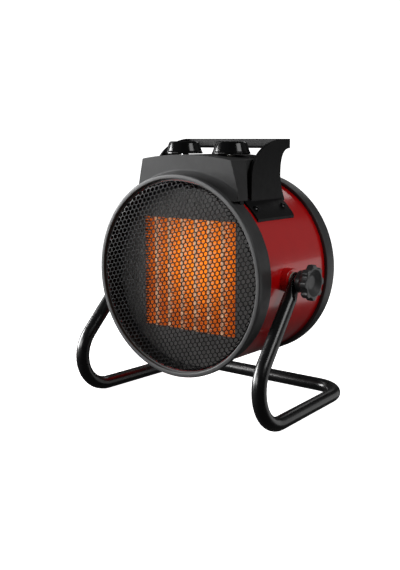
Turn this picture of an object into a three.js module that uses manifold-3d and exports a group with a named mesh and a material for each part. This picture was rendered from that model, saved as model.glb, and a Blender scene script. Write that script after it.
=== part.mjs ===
// A round ceramic space heater: a drum with a hexagonal mesh front, hung between the legs of a bent tube stand.
// Sizes are in millimetres. +X is to the right of someone facing the heater, +Y runs from its front to its back
// and +Z is up. While it is built, y = 0 is the front face of the drum; the last lines move the origin to the
// middle of the heater's footprint on the floor.
import * as THREE from "three";
import { mergeVertices } from "three/addons/utils/BufferGeometryUtils.js";
import Module from "manifold-3d";

const wasm = await Module();
wasm.setup();

// ---------------------------------------------------------------- Driving dimensions

const gap = 0.3; // between faces that touch on the real heater
const boreClearance = 0.15; // between a turning shaft and the hole it runs in
const drumSides = 40; // facets round the drum
const smallSides = 16; // facets round small turned pieces
const overshoot = 1; // of a cutting shape past what it cuts, and of a joined shape into its neighbour

// Drum shell, a rolled steel sheet
const shellRadius = 104.6;
const shellSheet = 0.8;
const shellFront = 5.3;
const shellRear = 153;
const floorToDrum = 47.4;

// Front bezel: a flange that frames the mesh, and a sleeve that slips over the shell
const bezelFlange = 5;
const bezelDepth = 5;
const bezelWeb = 1.2;
const bezelInnerEdge = 0.8; // rounding of the flange's edges
const bezelOuterEdge = 1.2;
const sleeveWall = 0.7;
const sleeveRear = 30.2;
const bezelStandOff = 5.6; // flange's edge above the sleeve

// Rear bezel
const rearBezelStandOff = 3.6; // above the shell's bore clearance
const rearBezelWidth = 16.7;
const rearBezelWall = 1.6;
const rearBezelLip = 7.5;
const shellToRearFace = 4.6;

// Mesh guards. Each cell is a hexagon on a lattice that leans up to the right.
const cellStepUp = [19.3, 34.7];
const cellStepAcross = [39, 9.7];
const meshStrand = 4.6;
const meshThickness = 1.4;
const meshMargin = 5.4; // plain edge outside the rear guard's cells
const frontMeshMargin = 2.4; // the same on the flat of the front guard
const meshProud = 0.5; // front of the mesh behind the bezel's front face
const guardRimDepth = 16;
const guardRimWall = 1;
const guardCorner = 5.5; // how far the front guard's edge rolls back
const rearGuardThickness = 2;

// Heating element: upright fin banks with ceramic bars between them, held at both ends
const elementWidth = 126;
const elementHeight = 124;
const elementDepth = 22;
const elementFront = 24.1;
const elementDrop = 1; // centre below the drum's axis
const finBankCount = 7;
const ceramicBarWidth = 3.4;
const finSheet = 1;
const finPitch = 20.7;
const holderHeight = 8;
const holderDepth = 19;

// Baffle round the element
const baffleFront = 25;
const baffleSheet = 1;
const baffleRim = 10;

// Motor and fan
const shaftRadius = 3;
const motorRadius = 31;
const motorLength = 44;
const motorWall = 1.5;
const motorPlate = 2;
const shaftNose = 6; // shaft's front end ahead of the fan
const shaftTail = 3; // and its rear end behind the motor
const bearingRadius = 8;
const bearingWidth = 4.5;
const statorInner = 17.6;
const laminationStack = 28;
const rotorAirGap = 0.6;
const bracketSetBack = 14.4; // bracket's front face from the shell's rear edge
const bracketWidth = 20;
const bracketSheet = 2;
const bracketTab = 12;
const bladeTipClearance = 13.5; // from the inside of the shell
const fanHubRadius = 16;
const fanHubLength = 22;
const fanToMotor = 5;
const bladeCount = 5;
const bladeRootWidth = 30;
const bladeTipWidth = 48;
const bladeThickness = 1.8;
const bladeSink = 5; // blade's foot inside the hub
const bladePitch = 30; // degrees

// Pivot and clamp on each side
const pivotY = 60.5;
const bossLength = 8;
const bossRadius = 13;
const frictionWasher = 1;
const clampWasher = 1.5;
const washerRadius = 9.5;
const studRadius = 3;
const nutRadius = 9;
const nutLength = 5.5;
const knobHub = 9.7;
const knobHubRadius = 12;
const knobHubFlare = 1.5;
const knobLength = 8;
const knobRadius = 17.9; // mean radius of its lobes
const lobeHeight = 1.1;
const lobeCount = 8;
const knobDishRadius = 14;
const knobDishDepth = 4.5;
const knobDishSlope = 7;
const knobCap = 3; // plastic over the stud's end
const studBeyondNut = 1;

// Stand, one bent steel tube
const tubeRadius = 7.8;
const tubeWall = 1.2;
const tubeSides = 12;
const bendSteps = 7;
const legSplay = 12;
const frontCornerY = -70;
const frontBend = 40.6;
const rearBend = 34.3;
const crossbarBehindDrum = 12.6;
const eyeThickness = 5;
const eyeRadius = 9.5;
const eyeNeck = 7.2;
const swageLength = 20;
const swageOverlap = 7;

// Control box on top of the drum
const boxHalfWidth = 61.3;
const boxFlare = 11.2;
const boxFlareDrop = 42.3;
const boxRise = 26.7; // crest above the shell
const boxArch = 5;
const boxFront = 18;
const boxLean = 2.9;
const boxSetBack = 45; // box's rear wall from the shell's rear edge
const boxWall = 2.5;
const wingRearLow = 34;
const wingRearHigh = 47;
const skirtInset = 3.5;
const skirtDepth = 14;
const skirtFront = 24;
const skirtRear = 31.5;
const coveFootRadius = 2.4; // cove's foot above the sleeve
const coveTopRadius = 14.4;
const coveRear = 26;
const covePull = 1; // of the cove's curve at its bend

// Controls
const dialInset = 28.4; // dial's axis in from the box's side
const dialY = 58;
const dialRadius = 21;
const dialFlange = 3.5;
const dialBodyRadius = 18.4;
const dialTopRadius = 17.3;
const dialHeight = 13.6;
const dialEdge = 2.2;
const dialBore = 8.5;
const controlBodySize = 34;
const controlBodyHeight = 13;
const controlNeckRadius = 4.8;
const neckRecess = 1; // neck's top below the dial
const controlShaftSink = 9;

// Handle
const cheekGap = 3.5;
const cheekThickness = 3.5;
const handleFront = 46.4;
const handleRear = 111.4;
const handleWaist = 102.6;
const handleRise = 43.4; // top of the grip above the shell
const cheekTailDrop = 22.6; // tail's foot below the shell's top
const cheekTailBend = 6.6; // where the tail bends, below the shell's top
const cheekWaistRise = 5.4; // narrowest place, above the shell's top
const cheekHollowRise = 23.4; // pull of the rear edge's curve, up and forward
const cheekHollowRun = 13.5;
const cheekBrowRun = 25.6; // pull of the front edge's curve at the grip
const cheekBrowDrop = 3;
const cheekForeheadDrop = 17; // and further down
const gripRear = 121.5;
const gripDepth = 17.2;
const gripHeight = 10.5;
const gripCorner = 3;
const footWidth = 16.5;
const footThickness = 2.2;
const footFront = 34.6;
const footRear = 106;
const screwRadius = 2;
const screwHeadRadius = 3.6;
const screwHeadHeight = 2;
const screwCrownRadius = 2.88; // where the head's side turns into its dome
const screwCrownHeight = 1.6;
const screwLength = 8;
const screwInset = 8; // from the cheek's outer face, along X
const screwFront = 43.2;
const screwRear = 95.4;

// Wiring and cable entry
const wiringOpening = { halfWidth: 30, front: 50, setBack: 4 }; // set back from the box's rear wall
const terminalBlock = { width: 36, depth: 12, height: 12, lift: 2.4 };
const cutoutDisc = { radius: 8, thickness: 7, x: 38, lift: 10 };
const glandBore = 3.9;
const glandRadius = 5.9;
const glandFlange = 9;
const glandLength = 12;
const glandLift = 11.4;
const glandThread = 1; // how far the gland's neck runs inside the box's wall
const glandFlangeDepth = 3;
const glandNoseStep = 1;
const leadRadius = 1.6;
const leadBow = 14; // how far a lead bows out of its straight way
const leadFanGap = 6; // from a lead to the fan's front and to the shell
const motorLeadX = 8;

// ---------------------------------------------------------------- Sizes that follow from those above

const axisHeight = shellRadius + floorToDrum;
const shellBore = shellRadius - shellSheet;
const sleeveInner = shellRadius + gap;
const sleeveOuter = sleeveInner + sleeveWall;
const bezelRadius = sleeveOuter + bezelStandOff;
const rearBezelRadius = sleeveInner + rearBezelStandOff;
const rearFace = shellRear + shellToRearFace;
const insideShell = shellBore - gap;
const facetDip = (radius) => radius * (1 - Math.cos(Math.PI / drumSides));

const bossOuter = sleeveInner + bossLength;
const eyeInner = bossOuter + gap + frictionWasher + gap;
const eyeX = eyeInner + eyeThickness / 2;
const clampWasherInner = eyeInner + eyeThickness + gap;
const knobInner = clampWasherInner + clampWasher + gap;
const nutOuter = Math.sqrt((insideShell - facetDip(shellBore)) ** 2 - nutRadius ** 2) - gap;
const studInner = nutOuter - nutLength - studBeyondNut;
const studOuter = knobInner + knobHub + knobLength - knobDishDepth - knobCap;

const bracketFront = shellRear - bracketSetBack;
const motorRear = bracketFront - gap;
const motorFront = motorRear - motorPlate - gap - motorLength;
const fanRear = motorFront - fanToMotor;
const fanFront = fanRear - fanHubLength;
const fanRadius = insideShell - bladeTipClearance;

const boxRear = shellRear - boxSetBack;
const boxCrest = shellRadius + boxRise;
const boxShoulder = boxCrest - boxArch;
const wingBottom = boxShoulder - boxFlareDrop;
const cheekInner = boxHalfWidth + cheekGap;
const cheekOuter = cheekInner + cheekThickness;
const dialX = boxHalfWidth - dialInset;
const dialBase = boxCrest + gap;
const screwX = cheekOuter + screwInset;
const gripFront = gripRear - gripDepth;

// ---------------------------------------------------------------- Finishes

const finishes = {
  redEnamel: { color: 0x8e0d12, roughness: 0.22, metalness: 0.3 },
  blackEnamel: { color: 0x121314, roughness: 0.25, metalness: 0.2 },
  satinBlack: { color: 0x1c1d1f, roughness: 0.45, metalness: 0.1 },
  blackPlastic: { color: 0x222326, roughness: 0.5, metalness: 0 },
  glossPlastic: { color: 0x0c0c0e, roughness: 0.2, metalness: 0 },
  zincSteel: { color: 0xa9abad, roughness: 0.4, metalness: 0.9 },
  darkSteel: { color: 0x4a4b4d, roughness: 0.5, metalness: 0.8 },
  aluminium: { color: 0xd06a28, roughness: 0.45, metalness: 0.7 },
  ceramic: { color: 0xe8c9ad, roughness: 0.8, metalness: 0 },
  nylon: { color: 0xd8d4c8, roughness: 0.6, metalness: 0 },
  lead: { color: 0x2d56a0, roughness: 0.6, metalness: 0 },
};

// ---------------------------------------------------------------- Shape helpers

/** A closed geometry as a solid that can be joined and cut. */
function solid(geometry) {
  const flat = geometry.index ? geometry.toNonIndexed() : geometry;
  const bare = new THREE.BufferGeometry().setAttribute("position", flat.getAttribute("position"));
  const merged = mergeVertices(bare, 1e-4);
  const vertProperties = merged.attributes.position.array;
  const triVerts = new Uint32Array(merged.index.array);
  return new wasm.Manifold(new wasm.Mesh({ numProp: 3, vertProperties, triVerts }));
}

/** A solid as a geometry again. */
function geometryOf(body) {
  const mesh = body.getMesh();
  const geometry = new THREE.BufferGeometry();
  geometry.setAttribute("position", new THREE.BufferAttribute(mesh.vertProperties, 3));
  geometry.setIndex(new THREE.BufferAttribute(mesh.triVerts, 1));
  return geometry;
}

const join = (first, ...rest) => geometryOf(rest.reduce((sum, next) => sum.add(solid(next)), solid(first)));
const cut = (first, ...rest) => geometryOf(rest.reduce((sum, next) => sum.subtract(solid(next)), solid(first)));
const common = (first, second) => geometryOf(solid(first).intersect(solid(second)));

/** A solid of revolution about Y from [radius, distance along Y] points, closed on the axis or on itself. */
function turned(profile, sides = smallSides) {
  const points = profile.map(([radius, along]) => new THREE.Vector2(radius, along));
  const onAxis = points[0].x === 0 && points.at(-1).x === 0;
  if (!onAxis) points.push(points[0].clone());
  if (THREE.ShapeUtils.area(points) < 0) points.reverse();
  return new THREE.LatheGeometry(points, sides);
}

const turnedAlongZ = (profile, sides) => turned(profile, sides).rotateX(Math.PI / 2);
const turnedAlongX = (profile, sides) => turned(profile, sides).rotateZ(-Math.PI / 2);

/** A ring about Y. */
const ring = (inner, outer, from, to, sides) =>
  turned([[inner, from], [outer, from], [outer, to], [inner, to]], sides);

/** A disc or rod about Y. */
const rod = (radius, from, to, sides) => turned([[0, from], [radius, from], [radius, to], [0, to]], sides);

/** A box from its limits along each axis. */
function block([x0, x1], [y0, y1], [z0, z1]) {
  return new THREE.BoxGeometry(x1 - x0, y1 - y0, z1 - z0).translate((x0 + x1) / 2, (y0 + y1) / 2, (z0 + z1) / 2);
}

const outline = (points) => new THREE.Shape(points.map(([x, y]) => new THREE.Vector2(x, y)));
const extruded = (shape, depth, curveSegments = 6) =>
  new THREE.ExtrudeGeometry(shape, { depth, bevelEnabled: false, curveSegments });

/** An outline in x and z, run along Y. */
const alongY = (shape, from, to) => extruded(shape, to - from).rotateX(Math.PI / 2).translate(0, to, 0);

/** An outline in y and z, run along X. */
function alongX(shape, from, to) {
  const turn = new THREE.Matrix4().makeBasis(
    new THREE.Vector3(0, 1, 0),
    new THREE.Vector3(0, 0, 1),
    new THREE.Vector3(1, 0, 0),
  );
  return extruded(shape, to - from).applyMatrix4(turn).translate(from, 0, 0);
}

/** A round tube or wire along a smooth curve through the given points. */
function wireThrough(points, radius, steps) {
  const path = new THREE.CatmullRomCurve3(points.map((point) => new THREE.Vector3(...point)));
  const section = new THREE.Shape().absarc(0, 0, radius, 0, 2 * Math.PI);
  return new THREE.ExtrudeGeometry(section, { steps, extrudePath: path, curveSegments: 4 });
}

/** A named mesh with its own material. */
function piece(name, geometry, finish) {
  geometry.computeVertexNormals();
  const mesh = new THREE.Mesh(geometry, new THREE.MeshStandardMaterial(finishes[finish]));
  mesh.name = name;
  return mesh;
}

/** A group that holds the given pieces at a place. */
function assembly(pieces, position = [0, 0, 0]) {
  const group = new THREE.Group();
  group.add(...pieces);
  group.position.set(...position);
  return group;
}

// ---------------------------------------------------------------- Stand

/** The stations of a bent tube: points and directions along straight runs and round each bend. */
function bentStations(corners, bends) {
  const run = (from, to) => to.clone().sub(from).normalize();
  const stations = [{ point: corners[0], tangent: run(corners[0], corners[1]) }];
  bends.forEach((radius, i) => {
    const arriving = run(corners[i], corners[i + 1]);
    const leaving = run(corners[i + 1], corners[i + 2]);
    const turn = arriving.angleTo(leaving);
    const inward = leaving.clone().addScaledVector(arriving, -leaving.dot(arriving)).normalize();
    const start = corners[i + 1].clone().addScaledVector(arriving, -radius * Math.tan(turn / 2));
    for (let step = 0; step <= bendSteps; step++) {
      const angle = (turn * step) / bendSteps;
      const point = start.clone().addScaledVector(arriving, radius * Math.sin(angle));
      point.addScaledVector(inward, radius * (1 - Math.cos(angle)));
      const tangent = arriving.clone().multiplyScalar(Math.cos(angle)).addScaledVector(inward, Math.sin(angle));
      stations.push({ point, tangent });
    }
  });
  stations.push({ point: corners.at(-1), tangent: run(corners.at(-2), corners.at(-1)) });
  return stations;
}

/** A path through given stations. Its section stays upright on the crossbar and turns least elsewhere. */
class BentPath extends THREE.Curve {
  constructor(stations) {
    super();
    this.stations = stations;
  }

  getSpacedPoints() {
    return this.stations.map(({ point }) => point.clone());
  }

  computeFrenetFrames() {
    const tangents = this.stations.map(({ tangent }) => tangent);
    const carried = (normal, from, to) =>
      normal.clone().applyQuaternion(new THREE.Quaternion().setFromUnitVectors(from, to));
    const middle = tangents.length / 2;
    const normals = [];
    normals[middle] = new THREE.Vector3(0, 0, 1);
    for (let i = middle; i + 1 < tangents.length; i++) {
      normals[i + 1] = carried(normals[i], tangents[i], tangents[i + 1]);
    }
    for (let i = middle; i > 0; i--) {
      normals[i - 1] = carried(normals[i], tangents[i], tangents[i - 1]);
    }
    const binormals = tangents.map((tangent, i) => tangent.clone().cross(normals[i]));
    return { tangents, normals, binormals };
  }
}

/** Points of a regular polygon with flats facing along both axes, at a given distance across its flats. */
function flatSided(apothem, sides) {
  const radius = apothem / Math.cos(Math.PI / sides);
  return Array.from({ length: sides }, (_, i) => {
    const angle = ((i + 0.5) * 2 * Math.PI) / sides;
    return new THREE.Vector2(radius * Math.cos(angle), radius * Math.sin(angle));
  });
}

/** The flattened end of a leg: a neck that runs into the tube, and a round eye for the clamp stud. */
function legEye(side, legDirection) {
  const shape = new THREE.Shape();
  const shoulder = Math.asin(eyeNeck / eyeRadius);
  shape.moveTo(-eyeNeck, swageLength + swageOverlap);
  shape.absarc(0, 0, eyeRadius, Math.PI / 2 + shoulder, Math.PI / 2 - shoulder + 2 * Math.PI);
  shape.lineTo(eyeNeck, swageLength + swageOverlap);
  shape.holes.push(new THREE.Path().absarc(0, 0, studRadius + 2 * gap, 0, 2 * Math.PI));
  const along = new THREE.Vector3(0, legDirection.y, legDirection.z).normalize();
  const out = new THREE.Vector3(1, 0, 0);
  const turn = new THREE.Matrix4().makeBasis(along.clone().cross(out), along, out);
  const eye = extruded(shape, eyeThickness).translate(0, 0, -eyeThickness / 2).applyMatrix4(turn);
  return eye.translate(side * eyeX, pivotY, axisHeight);
}

function makeStand() {
  const rearY = rearFace + crossbarBehindDrum;
  const pivot = new THREE.Vector3(eyeX, pivotY, axisHeight);
  const frontCorner = new THREE.Vector3(eyeX + legSplay, frontCornerY, tubeRadius);
  const rearCorner = new THREE.Vector3(eyeX, rearY, tubeRadius);
  const legDirection = frontCorner.clone().sub(pivot).normalize();
  const legTop = pivot.clone().addScaledVector(legDirection, swageLength);
  const rightSide = [legTop, frontCorner, rearCorner];
  const leftSide = rightSide.map(({ x, y, z }) => new THREE.Vector3(-x, y, z)).reverse();
  const stations = bentStations([...rightSide, ...leftSide], [frontBend, rearBend, rearBend, frontBend]);
  const section = new THREE.Shape(flatSided(tubeRadius, tubeSides));
  section.holes.push(new THREE.Path(flatSided(tubeRadius - tubeWall, tubeSides)));
  const extrudePath = new BentPath(stations);
  const tube = new THREE.ExtrudeGeometry(section, { steps: stations.length - 1, extrudePath });
  const stand = join(tube, legEye(1, legDirection), legEye(-1, legDirection));
  return assembly([piece("stand_tube", stand, "blackEnamel")]);
}

// ---------------------------------------------------------------- Pivot clamps

/** The outline of the clamp knob: a circle with rounded lobes. */
function lobedOutline() {
  const pointsPerLobe = 5;
  const count = lobeCount * pointsPerLobe;
  return new THREE.Shape(
    Array.from({ length: count }, (_, i) => {
      const angle = (i * 2 * Math.PI) / count;
      const radius = knobRadius + lobeHeight * Math.cos(lobeCount * angle);
      return new THREE.Vector2(radius * Math.cos(angle), radius * Math.sin(angle));
    }),
  );
}

function clampKnob() {
  const starInner = knobInner + knobHub;
  const starOuter = starInner + knobLength;
  const dishFloor = starOuter - knobDishDepth;
  const star = alongX(lobedOutline(), starInner, starOuter);
  const hub = turnedAlongX([[0, knobInner], [knobHubRadius, knobInner],
    [knobHubRadius + knobHubFlare, starInner + overshoot], [0, starInner + overshoot]]);
  const dish = turnedAlongX([[0, dishFloor], [knobDishRadius - knobDishSlope, dishFloor],
    [knobDishRadius, starOuter + overshoot], [0, starOuter + overshoot]]);
  const bore = turnedAlongX([[0, knobInner - overshoot], [studRadius + gap, knobInner - overshoot],
    [studRadius + gap, studOuter + gap], [0, studOuter + gap]]);
  return cut(join(star, hub), dish, bore);
}

/** The parts on one side's pivot, built to the right and turned round for the left. */
function makePivot(side) {
  const washer = (inner, thickness, holeRadius) =>
    turnedAlongX([[holeRadius, inner], [washerRadius, inner], [washerRadius, inner + thickness],
      [holeRadius, inner + thickness]]);
  const holeRadius = studRadius + 2 * gap;
  const bossBlank = turnedAlongX([[holeRadius, insideShell], [bossRadius, insideShell],
    [bossRadius, bossOuter], [holeRadius, bossOuter]]);
  const boss = cut(bossBlank, rod(sleeveInner, -2 * bossRadius, 2 * bossRadius, drumSides));
  const tappedRadius = studRadius + boreClearance;
  const nut = turnedAlongX([[tappedRadius, nutOuter - nutLength], [nutRadius, nutOuter - nutLength],
    [nutRadius, nutOuter], [tappedRadius, nutOuter]]);
  const stud = turnedAlongX([[0, studInner], [studRadius, studInner], [studRadius, studOuter], [0, studOuter]]);
  const pieces = [
    piece(`pivot_boss_${side}`, boss, "redEnamel"),
    piece(`pivot_nut_${side}`, nut, "zincSteel"),
    piece(`friction_washer_${side}`, washer(bossOuter + gap, frictionWasher, holeRadius), "nylon"),
    piece(`clamp_washer_${side}`, washer(clampWasherInner, clampWasher, tappedRadius), "zincSteel"),
    piece(`clamp_stud_${side}`, stud, "zincSteel"),
    piece(`clamp_knob_${side}`, clampKnob(), "satinBlack"),
  ];
  const pivot = assembly(pieces, [0, pivotY, 0]);
  pivot.rotation.z = side === "right" ? 0 : Math.PI;
  return pivot;
}

// ---------------------------------------------------------------- Drum: shell, bezels and mesh guards

/** Screw places on the handle's feet: distance along Y and angle from the top of the drum. */
const screwPlaces = ["right", "left"].flatMap((side) =>
  [["front", screwFront], ["rear", screwRear]].map(([end, y]) => ({
    name: `handle_screw_${side}_${end}`,
    y,
    angle: (side === "right" ? 1 : -1) * Math.asin(screwX / (sleeveInner + footThickness)),
  })),
);

/** Places a piece that was built standing on the drum's top at a screw's place. */
const atScrew = (geometry, { y, angle }) => geometry.rotateY(angle).translate(0, y, 0);
const screwHoles = () =>
  screwPlaces.map((place) => {
    const radius = screwRadius + gap;
    const reach = 2 * screwLength;
    const hole = turnedAlongZ([[0, -reach], [radius, -reach], [radius, reach], [0, reach]], 10);
    return atScrew(hole.translate(0, 0, shellRadius), place);
  });

function drumShell() {
  const { halfWidth, front, setBack } = wiringOpening;
  const opening = block([-halfWidth, halfWidth], [front, boxRear - setBack], [shellRadius / 2, 2 * shellRadius]);
  const reach = 2 * shellRadius;
  const holeRadius = studRadius + 2 * gap;
  const pivotHole = turnedAlongX([[0, -reach], [holeRadius, -reach], [holeRadius, reach], [0, reach]], 12);
  pivotHole.translate(0, pivotY, 0);
  return cut(ring(shellBore, shellRadius, shellFront, shellRear, drumSides), opening, pivotHole, ...screwHoles());
}

function frontBezel() {
  const lip = bezelRadius - bezelFlange;
  return turned([[lip, bezelInnerEdge], [lip + bezelInnerEdge, 0], [bezelRadius - bezelOuterEdge, 0],
    [bezelRadius, bezelOuterEdge], [bezelRadius, bezelDepth],
    [sleeveOuter, bezelDepth], [sleeveOuter, sleeveRear], [sleeveInner, sleeveRear],
    [sleeveInner, bezelDepth - bezelWeb], [lip, bezelDepth - bezelWeb]], drumSides);
}

function rearBezel() {
  const front = rearFace - rearBezelWidth;
  const inside = rearBezelRadius - rearBezelWall;
  const lip = rearBezelRadius - rearBezelLip;
  return turned([[sleeveInner, front], [rearBezelRadius, front], [rearBezelRadius, rearFace], [lip, rearFace],
    [lip, rearFace - rearBezelWall], [inside, rearFace - rearBezelWall], [inside, front + rearBezelWall],
    [sleeveInner, front + rearBezelWall]], drumSides);
}

/** The hexagonal holes of a mesh disc, as prisms cut off at its plain edge. */
function meshCells(radius, from, to) {
  const [ax, az] = cellStepUp;
  const [bx, bz] = cellStepAcross;
  const pitch = Math.sqrt(Math.abs(ax * bz - az * bx));
  const open = (1 - meshStrand / pitch) / 3;
  const corners = [[1, 1], [-1, 2], [-2, 1], [-1, -1], [1, -2], [2, -1]];
  const hexagonAt = (x, z) =>
    outline(corners.map(([i, j]) => [x + open * (i * ax + j * bx), z + open * (i * az + j * bz)]));
  const reach = Math.ceil((2 * radius) / pitch);
  const cells = [];
  for (let i = -reach; i <= reach; i++) {
    for (let j = -reach; j <= reach; j++) {
      const x = i * ax + j * bx;
      const z = i * az + j * bz;
      if (Math.hypot(x, z) < radius + pitch / 3) cells.push(hexagonAt(x, z));
    }
  }
  const [start, end] = [from - overshoot, to + overshoot];
  return common(alongY(cells, start, end), rod(radius, start, end, drumSides));
}

function meshDisc(radius, from, to, margin) {
  return cut(rod(radius, from, to, drumSides), meshCells(radius - margin, from, to));
}

/** The front guard: a mesh disc whose edge rolls back into a rim that slides into the shell. */
function frontGuard() {
  const outer = insideShell;
  const inner = outer - guardRimWall;
  const face = outer - guardCorner;
  const cornerEnd = meshProud + guardCorner;
  const rim = turned([[face - overshoot, meshProud], [outer - guardCorner / 3, meshProud + guardCorner / 4],
    [outer, cornerEnd], [outer, guardRimDepth], [inner, guardRimDepth], [inner, cornerEnd + guardRimWall],
    [outer - guardCorner / 2, meshProud + guardCorner / 2],
    [face - overshoot, meshProud + meshThickness]], drumSides);
  return join(rim, meshDisc(face, meshProud, meshProud + meshThickness, frontMeshMargin));
}

function rearGuard() {
  const radius = rearBezelRadius - rearBezelWall - gap;
  const front = shellRear + gap;
  const margin = meshMargin + radius - insideShell;
  return meshDisc(radius, front, front + rearGuardThickness, margin);
}

function makeDrumShells() {
  return assembly([
    piece("drum_shell", drumShell(), "redEnamel"),
    piece("front_bezel", frontBezel(), "satinBlack"),
    piece("rear_bezel", rearBezel(), "satinBlack"),
    piece("front_grille", frontGuard(), "satinBlack"),
    piece("rear_grille", rearGuard(), "satinBlack"),
  ]);
}

// ---------------------------------------------------------------- Heating element

/** One fin bank: a strip folded to and fro across its width, running up the element. */
function finBank(width) {
  const folds = Math.round(elementHeight / finPitch) * 2;
  const rise = elementHeight / folds;
  const stripWidth = (finSheet * Math.hypot(width, rise)) / rise;
  const edge = Array.from({ length: folds + 1 }, (_, i) => {
    const x = i % 2 ? width / 2 - stripWidth : -width / 2;
    return [x, i * rise - elementHeight / 2];
  });
  const back = edge.map(([x, z]) => [x + stripWidth, z]).reverse();
  return alongY(outline([...edge, ...back]), elementFront, elementFront + elementDepth);
}

function makeElement() {
  const barCount = finBankCount - 1;
  const finWidth = (elementWidth - barCount * (ceramicBarWidth + 2 * gap)) / finBankCount;
  const step = finWidth + ceramicBarWidth + 2 * gap;
  const rear = elementFront + elementDepth;
  const pieces = [];
  for (let i = 0; i < finBankCount; i++) {
    const bank = finBank(finWidth);
    bank.translate((i - barCount / 2) * step, 0, 0);
    pieces.push(piece(`fin_bank_${i + 1}`, bank, "aluminium"));
  }
  const halfBar = ceramicBarWidth / 2;
  for (let i = 0; i < barCount; i++) {
    const bar = block([-halfBar, halfBar], [elementFront, rear], [-elementHeight / 2, elementHeight / 2]);
    bar.translate((i - (barCount - 1) / 2) * step, 0, 0);
    pieces.push(piece(`ceramic_bar_${i + 1}`, bar, "ceramic"));
  }
  const holderInner = elementHeight / 2 + gap;
  const holderFront = baffleFront + baffleSheet + gap;
  for (const [end, sign] of [["top", 1], ["bottom", -1]]) {
    const limits = [sign * holderInner, sign * (holderInner + holderHeight)].sort((a, b) => a - b);
    const holder = block([-elementWidth / 2, elementWidth / 2], [holderFront, holderFront + holderDepth], limits);
    pieces.push(piece(`element_holder_${end}`, holder, "nylon"));
  }
  return assembly(pieces, [0, 0, -elementDrop]);
}

/** The plate that closes the drum round the element, with the overheat cut-out on its back. */
function makeBaffle() {
  const rear = baffleFront + baffleSheet;
  const halfWidth = elementWidth / 2 + gap;
  const halfHeight = elementHeight / 2 + gap;
  const dish = turned([[0, baffleFront], [insideShell, baffleFront], [insideShell, baffleFront + baffleRim],
    [insideShell - baffleSheet, baffleFront + baffleRim], [insideShell - baffleSheet, rear], [0, rear]], drumSides);
  const opening = block([-halfWidth, halfWidth], [baffleFront - overshoot, rear + overshoot],
    [-halfHeight - elementDrop, halfHeight - elementDrop]);
  const { radius, thickness, x, lift } = cutoutDisc;
  const height = halfHeight + holderHeight + lift - elementDrop;
  const cutout = rod(radius, rear + gap, rear + gap + thickness).translate(x, 0, height);
  return assembly([
    piece("element_baffle", cut(dish, opening), "darkSteel"),
    piece("thermal_cutout", cutout, "nylon"),
  ]);
}

// ---------------------------------------------------------------- Motor and fan

function motorBracket() {
  const half = bracketWidth / 2;
  const rear = bracketFront + bracketSheet;
  const reach = Math.sqrt((insideShell - facetDip(shellBore)) ** 2 - half ** 2);
  const arms = [0, Math.PI / 2].flatMap((turn) => {
    const strip = block([-reach, reach], [bracketFront, rear], [-half, half]);
    const tabs = [-1, 1].map((side) => {
      const ends = [side * (reach - bracketSheet), side * reach].sort((a, b) => a - b);
      return block(ends, [bracketFront - bracketTab, rear], [-half, half]);
    });
    return [strip, ...tabs].map((part) => part.rotateY(turn));
  });
  return cut(join(...arms), rod(bearingRadius + 2 * gap, bracketFront - overshoot, rear + overshoot));
}

/** One fan blade, standing up from the hub and turned to its pitch. */
function fanBlade(turn) {
  const root = bladeRootWidth / 2;
  const tip = bladeTipWidth / 2;
  const corner = tip / 2;
  const shape = new THREE.Shape();
  const foot = fanHubRadius - bladeSink;
  shape.moveTo(-root, foot);
  shape.lineTo(root, foot);
  shape.quadraticCurveTo(root, fanRadius / 2, tip, fanRadius - corner);
  shape.quadraticCurveTo(tip, fanRadius, tip - corner, fanRadius);
  shape.lineTo(corner - tip, fanRadius);
  shape.quadraticCurveTo(-tip, fanRadius, -tip, fanRadius - corner);
  shape.quadraticCurveTo(-root, fanRadius / 2, -root, foot);
  const blade = alongY(shape, -bladeThickness / 2, bladeThickness / 2);
  return blade.rotateZ(THREE.MathUtils.degToRad(bladePitch)).rotateY(turn);
}

function fanImpeller() {
  const middle = (fanFront + fanRear) / 2;
  const blades = Array.from({ length: bladeCount }, (_, i) =>
    fanBlade((i * 2 * Math.PI) / bladeCount).translate(0, middle, 0),
  );
  const hub = rod(fanHubRadius, fanFront, fanRear);
  const bore = rod(shaftRadius + gap, fanFront - overshoot, fanRear + overshoot);
  const reach = 2 * fanHubRadius;
  const hubEnds = [[fanFront - reach, fanFront], [fanRear, fanRear + reach]].map(([from, to]) =>
    rod(fanHubRadius, from, to),
  );
  return cut(join(hub, ...blades), bore, ...hubEnds);
}

function makeMotor() {
  const wallRear = motorFront + motorLength;
  const seat = bearingRadius + gap;
  const bore = motorRadius - motorWall;
  const housing = turned([[seat, motorFront], [motorRadius, motorFront], [motorRadius, wallRear], [bore, wallRear],
    [bore, motorFront + motorPlate], [seat, motorFront + motorPlate]]);
  const bearing = (middle) =>
    ring(shaftRadius + boreClearance, bearingRadius, middle - bearingWidth / 2, middle + bearingWidth / 2);
  const stackFront = motorFront + (motorLength - laminationStack) / 2;
  const stackRear = stackFront + laminationStack;
  return assembly([
    piece("motor_bracket", motorBracket(), "zincSteel"),
    piece("motor_housing", housing, "darkSteel"),
    piece("motor_end_cap", ring(seat, motorRadius, wallRear + gap, motorRear), "darkSteel"),
    piece("motor_bearing_front", bearing(motorFront + motorPlate / 2), "zincSteel"),
    piece("motor_bearing_rear", bearing(motorRear - motorPlate / 2), "zincSteel"),
    piece("motor_stator", ring(statorInner, bore - gap, stackFront, stackRear), "zincSteel"),
    piece("motor_rotor", ring(shaftRadius + gap, statorInner - rotorAirGap, stackFront, stackRear), "darkSteel"),
    piece("motor_shaft", rod(shaftRadius, fanFront - shaftNose, motorRear + shaftTail), "zincSteel"),
    piece("fan_impeller", fanImpeller(), "darkSteel"),
  ]);
}

// ---------------------------------------------------------------- Control box and its contents

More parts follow.
